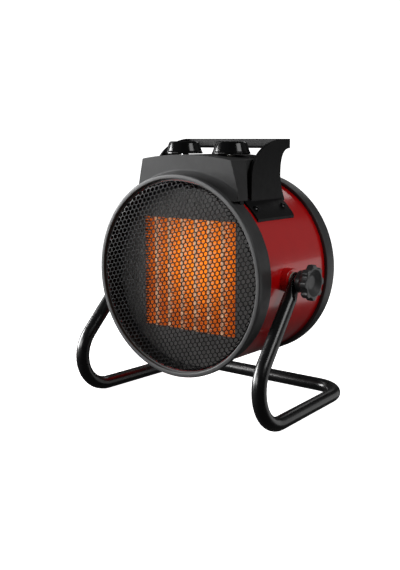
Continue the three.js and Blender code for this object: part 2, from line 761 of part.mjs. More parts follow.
/** The arched outline of the control box, inset by a wall. */
function boxOutline(inset, bottom) {
  const half = boxHalfWidth - inset;
  const shape = new THREE.Shape();
  shape.moveTo(-half, bottom);
  shape.lineTo(half, bottom);
  shape.lineTo(half, boxShoulder - inset);
  shape.quadraticCurveTo(0, boxShoulder - inset + 2 * boxArch, -half, boxShoulder - inset);
  return shape;
}

/** The drum that the box, the handle and their feet sit on, with the sleeve's step and a clearance. */
function drumSeat() {
  const outer = sleeveOuter + gap;
  const end = 2 * boxRear;
  return turned([[0, -overshoot], [outer, -overshoot], [outer, sleeveRear + gap], [sleeveInner, sleeveRear + gap],
    [sleeveInner, end], [0, end]], drumSides);
}

/** The space of the handle's two feet on the drum, with a clearance all round. */
function footRooms() {
  return [-1, 1].map((side) => {
    const limits = [side * (cheekInner - gap), side * (cheekOuter + footWidth + gap)].sort((a, b) => a - b);
    const saddle = ring(shellBore, sleeveInner + footThickness + gap, footFront - gap, footRear + gap, drumSides);
    return common(saddle, block(limits, [0, gripRear], [0, 2 * shellRadius]));
  });
}

function controlBox() {
  const bottom = wingBottom - skirtDepth;
  const wingOutline = outline([[-boxHalfWidth - boxFlare, wingBottom], [boxHalfWidth + boxFlare, wingBottom],
    [boxHalfWidth, boxShoulder], [-boxHalfWidth, boxShoulder]]);
  const wide = boxHalfWidth + boxFlare + overshoot;
  const wingEnd = wingRearHigh + overshoot;
  const wingBack = outline([[wingRearLow, wingBottom - overshoot], [wingRearHigh, boxShoulder + overshoot],
    [wingEnd + overshoot, boxShoulder + overshoot], [wingEnd + overshoot, wingBottom - overshoot]]);
  const wings = cut(alongY(wingOutline, boxFront, wingEnd), alongX(wingBack, -wide, wide));
  const core = alongY(boxOutline(0, bottom), boxFront, boxRear);
  const skirtHalf = boxHalfWidth + boxFlare - skirtInset;
  const skirt = block([-skirtHalf, skirtHalf], [skirtFront, skirtRear], [bottom, wingBottom + overshoot]);
  const leanPlane = outline([[boxFront - overshoot, boxCrest + overshoot], [boxFront - overshoot, bottom - overshoot],
    [boxFront + boxLean, bottom - overshoot], [boxFront + boxLean, wingBottom], [boxFront, boxCrest + overshoot]]);
  const foot = sleeveOuter + coveFootRadius;
  const top = sleeveOuter + coveTopRadius;
  const coveCurve = new THREE.QuadraticBezierCurve(
    new THREE.Vector2(foot, bezelDepth + gap),
    new THREE.Vector2(foot + covePull, boxFront + covePull),
    new THREE.Vector2(top, boxFront + boxLean),
  );
  const coveEdge = coveCurve.getPoints(5).map(({ x, y }) => [x, y]);
  const coveRing = turned([[sleeveInner, bezelDepth + gap], ...coveEdge, [top, coveRear],
    [sleeveInner, coveRear]], drumSides);
  const cove = common(coveRing, alongY(wingOutline, 0, coveRear + overshoot));
  const body = join(cut(join(core, wings, skirt), alongX(leanPlane, -wide, wide)), cove);
  const cavity = alongY(boxOutline(boxWall, 0), boxFront + boxLean + boxWall, boxRear - boxWall);
  const neckHoles = [-dialX, dialX].map((x) => {
    const radius = controlNeckRadius + gap;
    const hole = turnedAlongZ([[0, shellRadius], [radius, shellRadius], [radius, dialBase], [0, dialBase]]);
    return hole.translate(x, dialY, 0);
  });
  const glandHole = rod(glandRadius + gap, boxRear - 2 * boxWall, boxRear + overshoot);
  glandHole.translate(0, 0, shellRadius + glandLift);
  return cut(body, drumSeat(), cavity, ...neckHoles, glandHole, ...footRooms());
}

/** The body of one control, its neck through the box's top, the shaft in it and the dial on the shaft. */
function makeControl(name, bodyName, x) {
  const top = boxShoulder - boxWall - gap;
  const half = controlBodySize / 2;
  const bottom = top - controlBodyHeight;
  const neckTop = dialBase - neckRecess;
  const shaftFoot = top - controlShaftSink;
  const shaftTop = dialBase + dialBore - gap;
  const casing = block([-half, half], [-half, half], [bottom, top]);
  const neck = turnedAlongZ([[0, top - overshoot], [controlNeckRadius, top - overshoot],
    [controlNeckRadius, neckTop], [0, neckTop]]);
  const boreRadius = shaftRadius + boreClearance;
  const bore = turnedAlongZ([[0, shaftFoot - gap], [boreRadius, shaftFoot - gap], [boreRadius, neckTop + overshoot],
    [0, neckTop + overshoot]]);
  const shaft = turnedAlongZ([[0, shaftFoot], [shaftRadius, shaftFoot], [shaftRadius, shaftTop], [0, shaftTop]]);
  const dialTop = dialBase + dialHeight;
  const dial = turnedAlongZ([[0, dialBase + dialBore], [shaftRadius + gap, dialBase + dialBore],
    [shaftRadius + gap, dialBase], [dialRadius, dialBase], [dialRadius, dialBase + dialFlange],
    [dialBodyRadius, dialBase + dialFlange], [dialTopRadius, dialTop - dialEdge],
    [dialTopRadius - dialEdge, dialTop], [0, dialTop]], 24);
  return assembly([
    piece(bodyName, cut(join(casing, neck), bore), "nylon"),
    piece(`${name}_shaft`, shaft, "zincSteel"),
    piece(`${name}_dial`, dial, "glossPlastic"),
  ], [x, dialY, 0]);
}

function makeWiring() {
  const { width, depth, height, lift } = terminalBlock;
  const front = motorFront - depth / 2;
  const bottom = shellRadius + lift;
  const terminal = block([-width / 2, width / 2], [front, front + depth], [bottom, bottom + height]);
  const glandY = boxRear + gap;
  const glandFront = boxRear - boxWall - glandThread;
  const gland = turned([[glandBore, glandFront], [glandRadius, glandFront], [glandRadius, glandY],
    [glandFlange, glandY], [glandFlange, glandY + glandFlangeDepth],
    [glandRadius + glandNoseStep, glandY + glandLength], [glandBore, glandY + glandLength]]);
  const holderTop = elementHeight / 2 + gap + holderHeight - elementDrop;
  const middle = front + depth / 2;
  const holderMiddle = baffleFront + baffleSheet + gap + holderDepth / 2 + 2 * leadRadius;
  const motorMiddle = motorFront + motorLength / 2;
  const motorLead = wireThrough([[-motorLeadX, middle, bottom - gap],
    [-motorLeadX, middle + gap, shellRadius - leadBow],
    [-motorLeadX / 2, motorMiddle, 2 * motorRadius], [0, motorMiddle, motorRadius + 2 * gap]], leadRadius, 8);
  const leadX = (dialX - controlBodySize / 2) / 2;
  const terminalMiddle = bottom + height / 2;
  const elementLead = wireThrough([[leadX, front - gap, terminalMiddle],
    [leadX, front - leadBow, terminalMiddle - terminalBlock.lift],
    [leadX, fanFront - leadFanGap, shellRadius - leadFanGap],
    [leadX, holderMiddle + leadBow / 4, holderTop + leadBow],
    [leadX, holderMiddle, holderTop + 2 * gap]], leadRadius, 10);
  return assembly([
    piece("terminal_block", terminal, "nylon"),
    piece("cable_gland", gland.translate(0, 0, shellRadius + glandLift), "blackPlastic"),
    piece("motor_lead", motorLead, "lead"),
    piece("element_lead", elementLead, "lead"),
  ]);
}

function makeControls() {
  return assembly([
    piece("control_box", controlBox(), "blackPlastic"),
    makeControl("thermostat", "thermostat_body", dialX),
    makeControl("switch", "switch_body", -dialX),
    makeWiring(),
  ]);
}

// ---------------------------------------------------------------- Handle

/** The side outline of one cheek, from its foot on the drum up to the grip. */
function cheekOutline() {
  const foot = shellRadius / 2;
  const top = shellRadius + handleRise;
  const gripBottom = top - gripHeight;
  const shape = new THREE.Shape();
  shape.moveTo(handleFront, foot);
  shape.lineTo(handleRear, foot);
  shape.lineTo(handleRear, shellRadius - cheekTailDrop);
  shape.quadraticCurveTo(handleWaist, shellRadius - cheekTailBend, handleWaist, shellRadius + cheekWaistRise);
  shape.bezierCurveTo(handleWaist, shellRadius + cheekHollowRise, gripRear - cheekHollowRun, gripBottom,
    gripRear, gripBottom);
  shape.lineTo(gripRear, top);
  shape.lineTo(gripFront, top);
  shape.bezierCurveTo(handleFront + cheekBrowRun, top - cheekBrowDrop, handleFront, top - cheekForeheadDrop,
    handleFront, shellRadius);
  return shape;
}

/** The rounded section of the grip. */
function gripOutline() {
  const top = shellRadius + handleRise;
  const bottom = top - gripHeight;
  const shape = new THREE.Shape();
  shape.moveTo(gripFront + gripCorner, bottom);
  shape.lineTo(gripRear, bottom);
  shape.lineTo(gripRear, top);
  shape.lineTo(gripFront, top);
  shape.lineTo(gripFront, bottom + gripCorner);
  shape.quadraticCurveTo(gripFront, bottom, gripFront + gripCorner, bottom);
  return shape;
}

function handle() {
  const feet = [-1, 1].map((side) => {
    const limits = [side * cheekInner, side * (cheekOuter + footWidth)].sort((a, b) => a - b);
    const saddle = ring(shellRadius, sleeveInner + footThickness, footFront, footRear, drumSides);
    return common(saddle, block(limits, [0, gripRear], [0, 2 * shellRadius]));
  });
  const cheeks = [-cheekOuter, cheekInner].map((from) => alongX(cheekOutline(), from, from + cheekThickness));
  const grip = alongX(gripOutline(), -cheekInner - overshoot, cheekInner + overshoot);
  return cut(join(...cheeks, grip, ...feet), drumSeat(), ...screwHoles());
}

function handleScrew(place) {
  const seat = sleeveInner + footThickness + gap;
  const screw = turnedAlongZ([[0, seat - screwLength], [screwRadius, seat - screwLength], [screwRadius, seat],
    [screwHeadRadius, seat], [screwCrownRadius, seat + screwCrownHeight],
    [0, seat + screwHeadHeight]], 12);
  return piece(place.name, atScrew(screw, place), "darkSteel");
}

function makeHandle() {
  return assembly([piece("handle", handle(), "blackPlastic"), ...screwPlaces.map(handleScrew)]);
}

// ---------------------------------------------------------------- The whole heater

function makeDrum() {
  const parts = [makeDrumShells(), makeElement(), makeBaffle(), makeMotor(), makeControls(), makeHandle()];
  return assembly([...parts, makePivot("right"), makePivot("left")], [0, 0, axisHeight]);
}

const heater = assembly([makeStand(), makeDrum()]);
const footprint = new THREE.Box3().setFromObject(heater);
heater.position.y = -(footprint.min.y + footprint.max.y) / 2;

export default assembly([heater]);
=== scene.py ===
"""Looks of a round ceramic space heater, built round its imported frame.

Every sub-assembly of the heater is a class. Its fields are sizes in metres, its methods build the fine
meshes, and each mesh takes its place from the frame's own boxes. Finishes are small frozen dataclasses.
"""

import logging
import math
from dataclasses import dataclass, field
from enum import Enum
from typing import Callable, Iterable, Optional, Sequence

import bmesh
import bpy
from mathutils import Matrix, Vector

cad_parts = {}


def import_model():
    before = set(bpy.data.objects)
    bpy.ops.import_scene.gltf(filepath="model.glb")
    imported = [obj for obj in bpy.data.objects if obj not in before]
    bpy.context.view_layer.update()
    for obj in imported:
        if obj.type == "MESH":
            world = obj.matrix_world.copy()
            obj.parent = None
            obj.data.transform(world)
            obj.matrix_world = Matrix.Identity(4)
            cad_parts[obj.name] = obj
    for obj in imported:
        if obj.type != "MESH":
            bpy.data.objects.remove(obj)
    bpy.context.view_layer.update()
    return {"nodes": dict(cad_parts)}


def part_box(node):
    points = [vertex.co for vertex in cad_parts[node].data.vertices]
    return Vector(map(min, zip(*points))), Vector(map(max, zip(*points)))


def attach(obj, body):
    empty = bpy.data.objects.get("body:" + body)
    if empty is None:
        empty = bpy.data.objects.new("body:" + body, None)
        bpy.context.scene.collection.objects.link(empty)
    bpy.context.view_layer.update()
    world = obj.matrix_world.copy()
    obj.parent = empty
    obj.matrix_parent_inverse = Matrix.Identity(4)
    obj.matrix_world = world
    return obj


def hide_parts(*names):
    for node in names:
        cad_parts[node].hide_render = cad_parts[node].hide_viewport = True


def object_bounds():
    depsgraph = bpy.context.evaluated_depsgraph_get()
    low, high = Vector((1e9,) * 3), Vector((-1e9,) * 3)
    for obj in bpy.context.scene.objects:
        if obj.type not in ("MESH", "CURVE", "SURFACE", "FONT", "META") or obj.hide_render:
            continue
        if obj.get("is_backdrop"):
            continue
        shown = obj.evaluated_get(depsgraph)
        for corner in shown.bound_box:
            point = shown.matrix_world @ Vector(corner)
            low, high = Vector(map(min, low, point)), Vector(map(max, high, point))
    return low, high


MM = 0.001
FULL_TURN = 2 * math.pi
ON_AXIS = 1e-7
DOUBLED = 0.01 * MM
DRILL_SIDES = 32
SMALL_SIDES = 48
KEPT_CORNER = 50.0
LOG = logging.getLogger("heater")

Pair = tuple[float, float]
Corner = tuple[float, float, float]
Colour = tuple[float, float, float]
Ring = list[Vector]
Piece = bpy.types.Object
Socket = bpy.types.NodeSocket


# ---- Names


class Body(Enum):
    """The bodies of the heater that pieces ride on."""

    STAND = "stand"
    DRUM = "drum"
    FAN = "fan"
    THERMOSTAT = "thermostat_control"
    SWITCH = "switch_control"


class Slot(Enum):
    """The finishes that the record names."""

    STAND_ENAMEL = "stand_enamel"
    SHELL_RED = "shell_red"
    BEZEL_BLACK = "bezel_black"
    MESH_BLACK = "mesh_black"
    FIN_ALUMINIUM = "fin_aluminium"
    HEATING_CERAMIC = "heating_ceramic"
    HOLDER_CERAMIC = "holder_ceramic"
    BAFFLE_STEEL = "baffle_steel"
    ZINC_STEEL = "zinc_steel"
    MOTOR_PAINT = "motor_paint"
    LAMINATION_STEEL = "lamination_steel"
    BOX_PLASTIC = "box_plastic"
    HANDLE_PLASTIC = "handle_plastic"
    DIAL_PLASTIC = "dial_plastic"
    KNOB_PLASTIC = "knob_plastic"
    PALE_PLASTIC = "pale_plastic"
    SCREW_BLACK = "screw_black"
    LEAD_INSULATION = "lead_insulation"


class Side(Enum):
    """The two sides of the heater, as signs along X."""

    RIGHT = 1
    LEFT = -1

    @property
    def word(self) -> str:
        """The side's name as pieces and bodies use it."""
        return self.name.lower()


class Operation(Enum):
    """How one solid changes another."""

    JOIN = "UNION"
    CUT = "DIFFERENCE"
    KEEP_COMMON = "INTERSECT"


# ---- Places


@dataclass(frozen=True)
class Box:
    """The box of one CAD node, in the frame."""

    low: Vector
    high: Vector

    @classmethod
    def of(cls, node: str) -> "Box":
        """The box of a node, by name."""
        return cls(*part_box(node))

    @property
    def centre(self) -> Vector:
        """The middle of the box."""
        return (self.low + self.high) / 2

    @property
    def size(self) -> Vector:
        """The three sides of the box."""
        return self.high - self.low


@dataclass(frozen=True)
class Axis:
    """A place to turn or extrude from: a point and three directions square to each other."""

    origin: Vector
    out: Vector
    up: Vector
    along: Vector

    def point(self, u: float, v: float, w: float) -> Vector:
        """The point at u outward, v upward and w along the axis."""
        return self.origin + self.out * u + self.up * v + self.along * w

    def round_point(self, radius: float, angle: float, w: float) -> Vector:
        """The point at a radius and an angle round the axis, w along it."""
        return self.point(radius * math.cos(angle), radius * math.sin(angle), w)


X, Y, Z = Vector((1, 0, 0)), Vector((0, 1, 0)), Vector((0, 0, 1))


def axis_y(origin: Vector) -> Axis:
    """An axis that runs from front to back."""
    return Axis(origin, X, Z, Y)


def axis_x(origin: Vector, side: Side = Side.RIGHT) -> Axis:
    """An axis that runs out to one side."""
    return Axis(origin, Y, Z, X * side.value)


def axis_z(origin: Vector) -> Axis:
    """An axis that runs upward."""
    return Axis(origin, X, Y, Z)


def axis_back(box: Box) -> Axis:
    """An axis that runs back from the middle of a box's front."""
    return axis_y(Vector((box.centre.x, box.low.y, box.centre.z)))


def axis_up(box: Box) -> Axis:
    """An axis that runs up from the middle of a box's bottom."""
    return axis_z(Vector((box.centre.x, box.centre.y, box.low.z)))


# ---- Outlines


def band(inner: float, outer: float, start: float, end: float) -> list[Pair]:
    """The outline of a plain ring or rod, from its two radii and its two ends."""
    return [(inner, start), (outer, start), (outer, end), (inner, end)]


def rounded(corners: Sequence[Corner], steps: int = 4, closed: bool = True) -> list[Pair]:
    """Rounds the corners of an outline.

    Args:
        corners: Each corner's two coordinates and its radius.
        steps: How many edges each round corner gets.
        closed: Whether the last corner runs on to the first.

    Returns:
        The outline's points in order.
    """
    points: list[Pair] = []
    count = len(corners)
    for i, (x, y, radius) in enumerate(corners):
        here = Vector((x, y))
        if radius <= 0 or (not closed and i in (0, count - 1)):
            points.append((x, y))
            continue
        before = Vector(corners[i - 1][:2]) - here
        after = Vector(corners[(i + 1) % count][:2]) - here
        half = before.angle(after) / 2
        reach = min(radius / math.tan(half), before.length / 2, after.length / 2)
        arc = reach * math.tan(half)
        centre = here + (before.normalized() + after.normalized()).normalized() * (arc / math.sin(half))
        start = here + before.normalized() * reach - centre
        end = here + after.normalized() * reach - centre
        turn = start.angle_signed(end)
        for step in range(steps + 1):
            spoke = start.copy()
            spoke.rotate(Matrix.Rotation(-turn * step / steps, 2))
            points.append(tuple(centre + spoke))
    return points


def bezier(start: Pair, first: Pair, second: Pair, end: Pair, steps: int) -> list[Pair]:
    """The points of a cubic curve, without its start.

    Args:
        start: Where the curve starts.
        first: The point that its start heads for.
        second: The point that its end comes from.
        end: Where it ends.
        steps: How many edges it gets.

    Returns:
        The curve's points in order, with its end as the last.
    """
    points = []
    for step in range(1, steps + 1):
        t = step / steps
        s = 1 - t
        weights = (s**3, 3 * s * s * t, 3 * s * t * t, t**3)
        spots = (start, first, second, end)
        points.append(tuple(sum(w * p[k] for w, p in zip(weights, spots)) for k in (0, 1)))
    return points


# ---- Meshes


def link(name: str, mesh_code: bmesh.types.BMesh) -> Piece:
    """Makes an object from mesh code, with its faces pointing out, and puts it in the scene.

    Args:
        name: The object's name.
        mesh_code: The mesh, which is freed afterwards.

    Returns:
        The new object.
    """
    bmesh.ops.recalc_face_normals(mesh_code, faces=mesh_code.faces)
    mesh = bpy.data.meshes.new(name)
    mesh_code.to_mesh(mesh)
    mesh_code.free()
    piece = bpy.data.objects.new(name, mesh)
    bpy.context.scene.collection.objects.link(piece)
    return piece


def skin(mesh_code: bmesh.types.BMesh, rings: Sequence[Sequence], closed: bool) -> None:
    """Joins rings of vertices with faces; a ring of one vertex is a point on the axis.

    Args:
        mesh_code: The mesh that the vertices are in.
        rings: The rings in order.
        closed: Whether the last ring joins the first.
    """
    follows = list(rings[1:]) + ([rings[0]] if closed else [])
    for first, second in zip(rings, follows):
        count = max(len(first), len(second))
        if count == 1:
            continue
        for i in range(count):
            j = (i + 1) % count
            if len(first) == 1:
                corners = (first[0], second[j], second[i])
            elif len(second) == 1:
                corners = (first[i], first[j], second[0])
            else:
                corners = (first[i], first[j], second[j], second[i])
            mesh_code.faces.new(corners)


def turned(
    name: str,
    axis: Axis,
    profile: Sequence[Pair],
    sides: int = 96,
    radius_at: Optional[Callable[[float, float], float]] = None,
) -> Piece:
    """A solid of revolution.

    Args:
        name: The object's name.
        axis: What it is turned about.
        profile: Points of radius and distance along the axis, from axis to axis or closed on itself.
        sides: How many facets it has round.
        radius_at: Gives the true radius from the profile's radius and the angle, on a lobed piece.

    Returns:
        The new object.
    """
    mesh_code = bmesh.new()
    rings = []
    for radius, along in profile:
        if radius < ON_AXIS:
            rings.append([mesh_code.verts.new(axis.point(0, 0, along))])
            continue
        ring = []
        for i in range(sides):
            angle = i * FULL_TURN / sides
            true_radius = radius_at(radius, angle) if radius_at else radius
            ring.append(mesh_code.verts.new(axis.round_point(true_radius, angle, along)))
        rings.append(ring)
    skin(mesh_code, rings, closed=len(rings[0]) > 1)
    return link(name, mesh_code)


def slab(name: str, axis: Axis, outline: Sequence[Pair], start: float, end: float) -> Piece:
    """An outline across an axis, run along it from start to end.

    Args:
        name: The object's name.
        axis: What the outline stands across.
        outline: Points of distance outward and upward from the axis.
        start: Where the slab starts along the axis.
        end: Where it ends.

    Returns:
        The new object.
    """
    mesh_code = bmesh.new()
    ends = [[mesh_code.verts.new(axis.point(u, v, w)) for u, v in outline] for w in (start, end)]
    skin(mesh_code, ends, closed=False)
    for ring in ends:
        mesh_code.faces.new(ring)
    return link(name, mesh_code)


def block(name: str, low: Iterable[float], high: Iterable[float]) -> Piece:
    """A tool block between two corners, used only to cut or to join."""
    (x0, y0, z0), (x1, y1, z1) = low, high
    return slab(name, axis_z(Vector((0, 0, 0))), [(x0, y0), (x1, y0), (x1, y1), (x0, y1)], z0, z1)


def lofted(name: str, rings: Sequence[Ring]) -> Piece:
    """A skin over rings of points, closed at both ends.

    Args:
        name: The object's name.
        rings: The rings in order, all with as many points.

    Returns:
        The new object.
    """
    mesh_code = bmesh.new()
    made = [[mesh_code.verts.new(point) for point in ring] for ring in rings]
    skin(mesh_code, made, closed=False)
    mesh_code.faces.new(made[0])
    mesh_code.faces.new(made[-1])
    return link(name, mesh_code)


def settle(piece: Piece) -> Piece:
    """Applies a piece's modifiers to its mesh.

    Args:
        piece: The piece.

    Returns:
        The same piece, with no modifiers left.
    """
    bpy.context.view_layer.update()
    shaped = piece.evaluated_get(bpy.context.evaluated_depsgraph_get())
    mesh = bpy.data.meshes.new_from_object(shaped)
    piece.modifiers.clear()
    piece.data = mesh
    return piece


def kept_inside(piece: Piece, box: Box) -> Piece:
    """Applies a piece's modifiers and draws every point that stands outside a box back onto it.

    Args:
        piece: The piece, whose rounded edges may bulge.
        box: The box it must stay in.

    Returns:
        The same piece.
    """
    settle(piece)
    for vertex in piece.data.vertices:
        vertex.co = [min(max(at, low), high) for at, low, high in zip(vertex.co, box.low, box.high)]
    return piece


def shaped(piece: Piece, tool: Piece, operation: Operation) -> Piece:
    """Joins a tool to a piece, cuts it away or keeps what they share, and removes the tool.

    Args:
        piece: The piece that changes.
        tool: The solid that changes it.
        operation: What the tool does to the piece.

    Returns:
        The same piece.
    """
    change = piece.modifiers.new("shape", "BOOLEAN")
    change.operation = operation.value
    change.object = tool
    change.solver = "MANIFOLD"
    settle(piece)
    bpy.data.objects.remove(tool)
    return piece


def joined(name: str, pieces: Sequence[Piece]) -> Piece:
    """Puts the meshes of several objects into one object, as separate shells.

    Args:
        name: The object's name.
        pieces: The objects, which are removed.

    Returns:
        The new object.
    """
    mesh_code = bmesh.new()
    for piece in pieces:
        mesh_code.from_mesh(piece.data)
        bpy.data.objects.remove(piece)
    return link(name, mesh_code)


def tidied(piece: Piece, flat_angle: float = math.radians(0.4)) -> Piece:
    """Merges doubled points and flattens split faces after cuts.

    Args:
        piece: The piece.
        flat_angle: Faces that meet at less than this become one.

    Returns:
        The same piece.
    """
    mesh_code = bmesh.new()
    mesh_code.from_mesh(piece.data)
    bmesh.ops.remove_doubles(mesh_code, verts=mesh_code.verts, dist=DOUBLED)
    bmesh.ops.dissolve_limit(
        mesh_code,
        angle_limit=flat_angle,
        verts=mesh_code.verts,
        edges=mesh_code.edges,
        delimit=set(),
    )
    mesh_code.to_mesh(piece.data)
    mesh_code.free()
    return piece


def smooth(piece: Piece, sharp: float = 35.0) -> Piece:
    """Shades a piece smooth, apart from edges sharper than the given angle in degrees.

    Args:
        piece: The piece.
        sharp: The least angle of an edge that stays sharp.

    Returns:
        The same piece.
    """
    piece.data.shade_smooth()
    piece.data.set_sharp_from_angle(angle=math.radians(sharp))
    return piece


def softened(
    piece: Piece,
    width: float,
    segments: int = 3,
    sharp: float = 28.0,
    chosen: Optional[Callable[[Vector], bool]] = None,
) -> Piece:
    """Rounds the sharp edges of a piece.

    Args:
        piece: The piece, whose mesh is final.
        width: The width of the rounding.
        segments: How many faces the rounding has.
        sharp: The least angle in degrees between two faces whose edge is rounded.
        chosen: Says whether the edge with this middle point is rounded; all are without it.

    Returns:
        The same piece.
    """
    mesh_code = bmesh.new()
    mesh_code.from_mesh(piece.data)
    weight = mesh_code.edges.layers.float.new("bevel_weight_edge")
    for edge in mesh_code.edges:
        if len(edge.link_faces) != 2 or edge.calc_face_angle(0.0) < math.radians(sharp):
            continue
        middle = (edge.verts[0].co + edge.verts[1].co) / 2
        if chosen is None or chosen(middle):
            edge[weight] = 1.0
    mesh_code.to_mesh(piece.data)
    mesh_code.free()
    rounding = piece.modifiers.new("soft_edges", "BEVEL")
    rounding.limit_method = "WEIGHT"
    rounding.width = width
    rounding.segments = segments
    rounding.use_clamp_overlap = False
    rounding.miter_outer = "MITER_ARC"
    piece.data.shade_smooth()
    normals = piece.modifiers.new("flat_faces", "WEIGHTED_NORMAL")
    normals.keep_sharp = True
    return piece


# ---- Finishes


class ShaderBoard:
    """Adds shader nodes to one material and joins them."""

    def __init__(self, name: str) -> None:
        """Starts an empty material.

        Args:
            name: The material's name.
        """
        self.material = bpy.data.materials.new(name)
        self.material.use_nodes = True
        self.tree = self.material.node_tree
        self.tree.nodes.clear()
        self.shader = self.add("ShaderNodeBsdfPrincipled")
        output = self.add("ShaderNodeOutputMaterial")
        self.tree.links.new(self.shader.outputs["BSDF"], output.inputs["Surface"])
        self.place = self.add("ShaderNodeTexCoord").outputs["Object"]

    def add(self, kind: str, sockets: Optional[dict] = None, **settings: object) -> bpy.types.Node:
        """Adds a node.

        Args:
            kind: The node's type.
            sockets: For each input, by name or number, the output joined to it or the value set on it.
            settings: The node's own settings.

        Returns:
            The new node.
        """
        node = self.tree.nodes.new(kind)
        for name, value in settings.items():
            setattr(node, name, value)
        for key, value in (sockets or {}).items():
            if isinstance(value, Socket):
                self.tree.links.new(value, node.inputs[key])
            else:
                node.inputs[key].default_value = value
        return node

    def noise(self, size: float, detail: float = 3.0, stretch: Colour = (1, 1, 1)) -> Socket:
        """Cloudy noise with features of about the given size, in metres, squeezed along each axis.

        Args:
            size: The size of its features.
            detail: How many finer layers it has.
            stretch: How much it is squeezed along each axis.

        Returns:
            The noise, mostly from 0.3 to 0.7.
        """
        place = self.add("ShaderNodeMapping", {"Vector": self.place, "Scale": stretch}).outputs["Vector"]
        sockets = {"Vector": place, "Scale": 1 / size, "Detail": detail, "Roughness": 0.55}
        return self.add("ShaderNodeTexNoise", sockets).outputs[0]

    def mixed(self, share: Socket, low: Colour, high: Colour) -> Socket:
        """A colour between two, by a share that wanders over the surface.

        Args:
            share: How far the colour goes from low to high.
            low: The darker tone.
            high: The lighter tone.

        Returns:
            The colour.
        """
        ramp = self.add("ShaderNodeValToRGB", {"Fac": share})
        ramp.color_ramp.elements[0].color = (*low, 1)
        ramp.color_ramp.elements[1].color = (*high, 1)
        ramp.color_ramp.elements[0].position = 0.3
        ramp.color_ramp.elements[1].position = 0.7
        return ramp.outputs["Color"]

    def ranged(self, share: Socket, low: float, high: float) -> Socket:
        """A number that goes from low to high as the share goes from 0.3 to 0.7."""
        sockets = {"Value": share, "From Min": 0.3, "From Max": 0.7, "To Min": low, "To Max": high}
        return self.add("ShaderNodeMapRange", sockets).outputs[0]

    def bump(
        self, height: Socket, depth: float, under: Optional[bpy.types.Node] = None
    ) -> bpy.types.Node:
        """A bump of the given depth, on top of another where one is given.

        Args:
            height: The height over the surface, from 0 to 1.
            depth: How far a height of 1 stands out.
            under: A bump that this one is added to.

        Returns:
            The bump's node.
        """
        sockets = {"Height": height, "Distance": depth, "Strength": 1.0}
        if under:
            sockets["Normal"] = under.outputs["Normal"]
        return self.add("ShaderNodeBump", sockets)


@dataclass(frozen=True)
class Finish:
    """A surface: its colour, its gloss and how both wander, with a fine grain."""

    slot: Slot
    colour: Colour
    roughness: float
    metallic: float = 0.0
    specular: float = 0.5
    coat: float = 0.0
    coat_roughness: float = 0.05
    mottle: float = 0.12
    mottle_size: float = 22 * MM
    scuff: float = 0.15
    scuff_size: float = 9 * MM
    grain_size: float = 0.7 * MM
    grain_depth: float = 0.012 * MM
    grain_stretch: Colour = (1, 1, 1)

    def material(self) -> bpy.types.Material:
        """Builds the material.

        Returns:
            A material whose colour, roughness and bump come from noise over the surface.
        """
        board = ShaderBoard(self.slot.value)
        low = tuple(c * (1 - self.mottle) for c in self.colour)
        high = tuple(c * (1 + self.mottle) for c in self.colour)
        wear = board.noise(self.scuff_size, 5.0, self.grain_stretch)
        grain = board.noise(self.grain_size, 2.0, self.grain_stretch)
        shader = board.shader
        board.tree.links.new(self.base_colour(board, low, high), shader.inputs["Base Color"])
        gloss = board.ranged(wear, self.roughness * (1 - self.scuff), self.roughness * (1 + self.scuff))
        board.tree.links.new(gloss, shader.inputs["Roughness"])
        bump = board.bump(grain, self.grain_depth)
        board.tree.links.new(bump.outputs["Normal"], shader.inputs["Normal"])
        shader.inputs["Metallic"].default_value = self.metallic
        shader.inputs["Specular IOR Level"].default_value = self.specular
        shader.inputs["Coat Weight"].default_value = self.coat
        shader.inputs["Coat Roughness"].default_value = self.coat_roughness
        self.add_light(board)
        return board.material

    def base_colour(self, board: ShaderBoard, low: Colour, high: Colour) -> Socket:
        """The surface's colour, which wanders between two tones."""
        return board.mixed(board.noise(self.mottle_size), low, high)

    def add_light(self, board: ShaderBoard) -> None:
        """Adds what the surface gives out; a plain finish gives out nothing."""


@dataclass(frozen=True)
class GlowingFinish(Finish):
    """A surface with a painted glow: it is no lamp, but gives out light, most at a centre point and less
    towards its edges.
    """

    # painted glow: the element is no lamp, and its light is painted into it as emission from this centre
    # point
    heart: Colour = (0.0, 0.0, 0.0)
    reach: float = 80 * MM
    glow_bright: Colour = (1.0, 0.3, 0.03)
    glow_dim: Colour = (0.4, 0.05, 0.004)
    strength: float = 1.0
    fleck_size: float = 3 * MM
    fleck: float = 0.35

    def add_light(self, board: ShaderBoard) -> None:
        """Adds a painted glow that falls off from its centre point and breaks up in flecks.

        Args:
            board: The material's nodes.
        """
        sockets = {0: board.place, 1: self.heart}
        distance = board.add("ShaderNodeVectorMath", sockets, operation="DISTANCE").outputs["Value"]
        sockets = {"Value": distance, "From Min": 0.0, "From Max": self.reach, "To Min": 1.0, "To Max": 0.0}
        fall = board.add("ShaderNodeMapRange", sockets, interpolation_type="SMOOTHSTEP").outputs[0]
        flecks = board.ranged(board.noise(self.fleck_size, 3.0), -self.fleck, self.fleck)
        share = board.add("ShaderNodeMath", {0: fall, 1: flecks}, operation="ADD", use_clamp=True).outputs[0]
        ramp = board.add("ShaderNodeValToRGB", {"Fac": share})
        ramp.color_ramp.elements[0].color = (*self.glow_dim, 1)
        ramp.color_ramp.elements[1].color = (*self.glow_bright, 1)
        board.tree.links.new(ramp.outputs["Color"], board.shader.inputs["Emission Color"])
        board.shader.inputs["Emission Strength"].default_value = self.strength


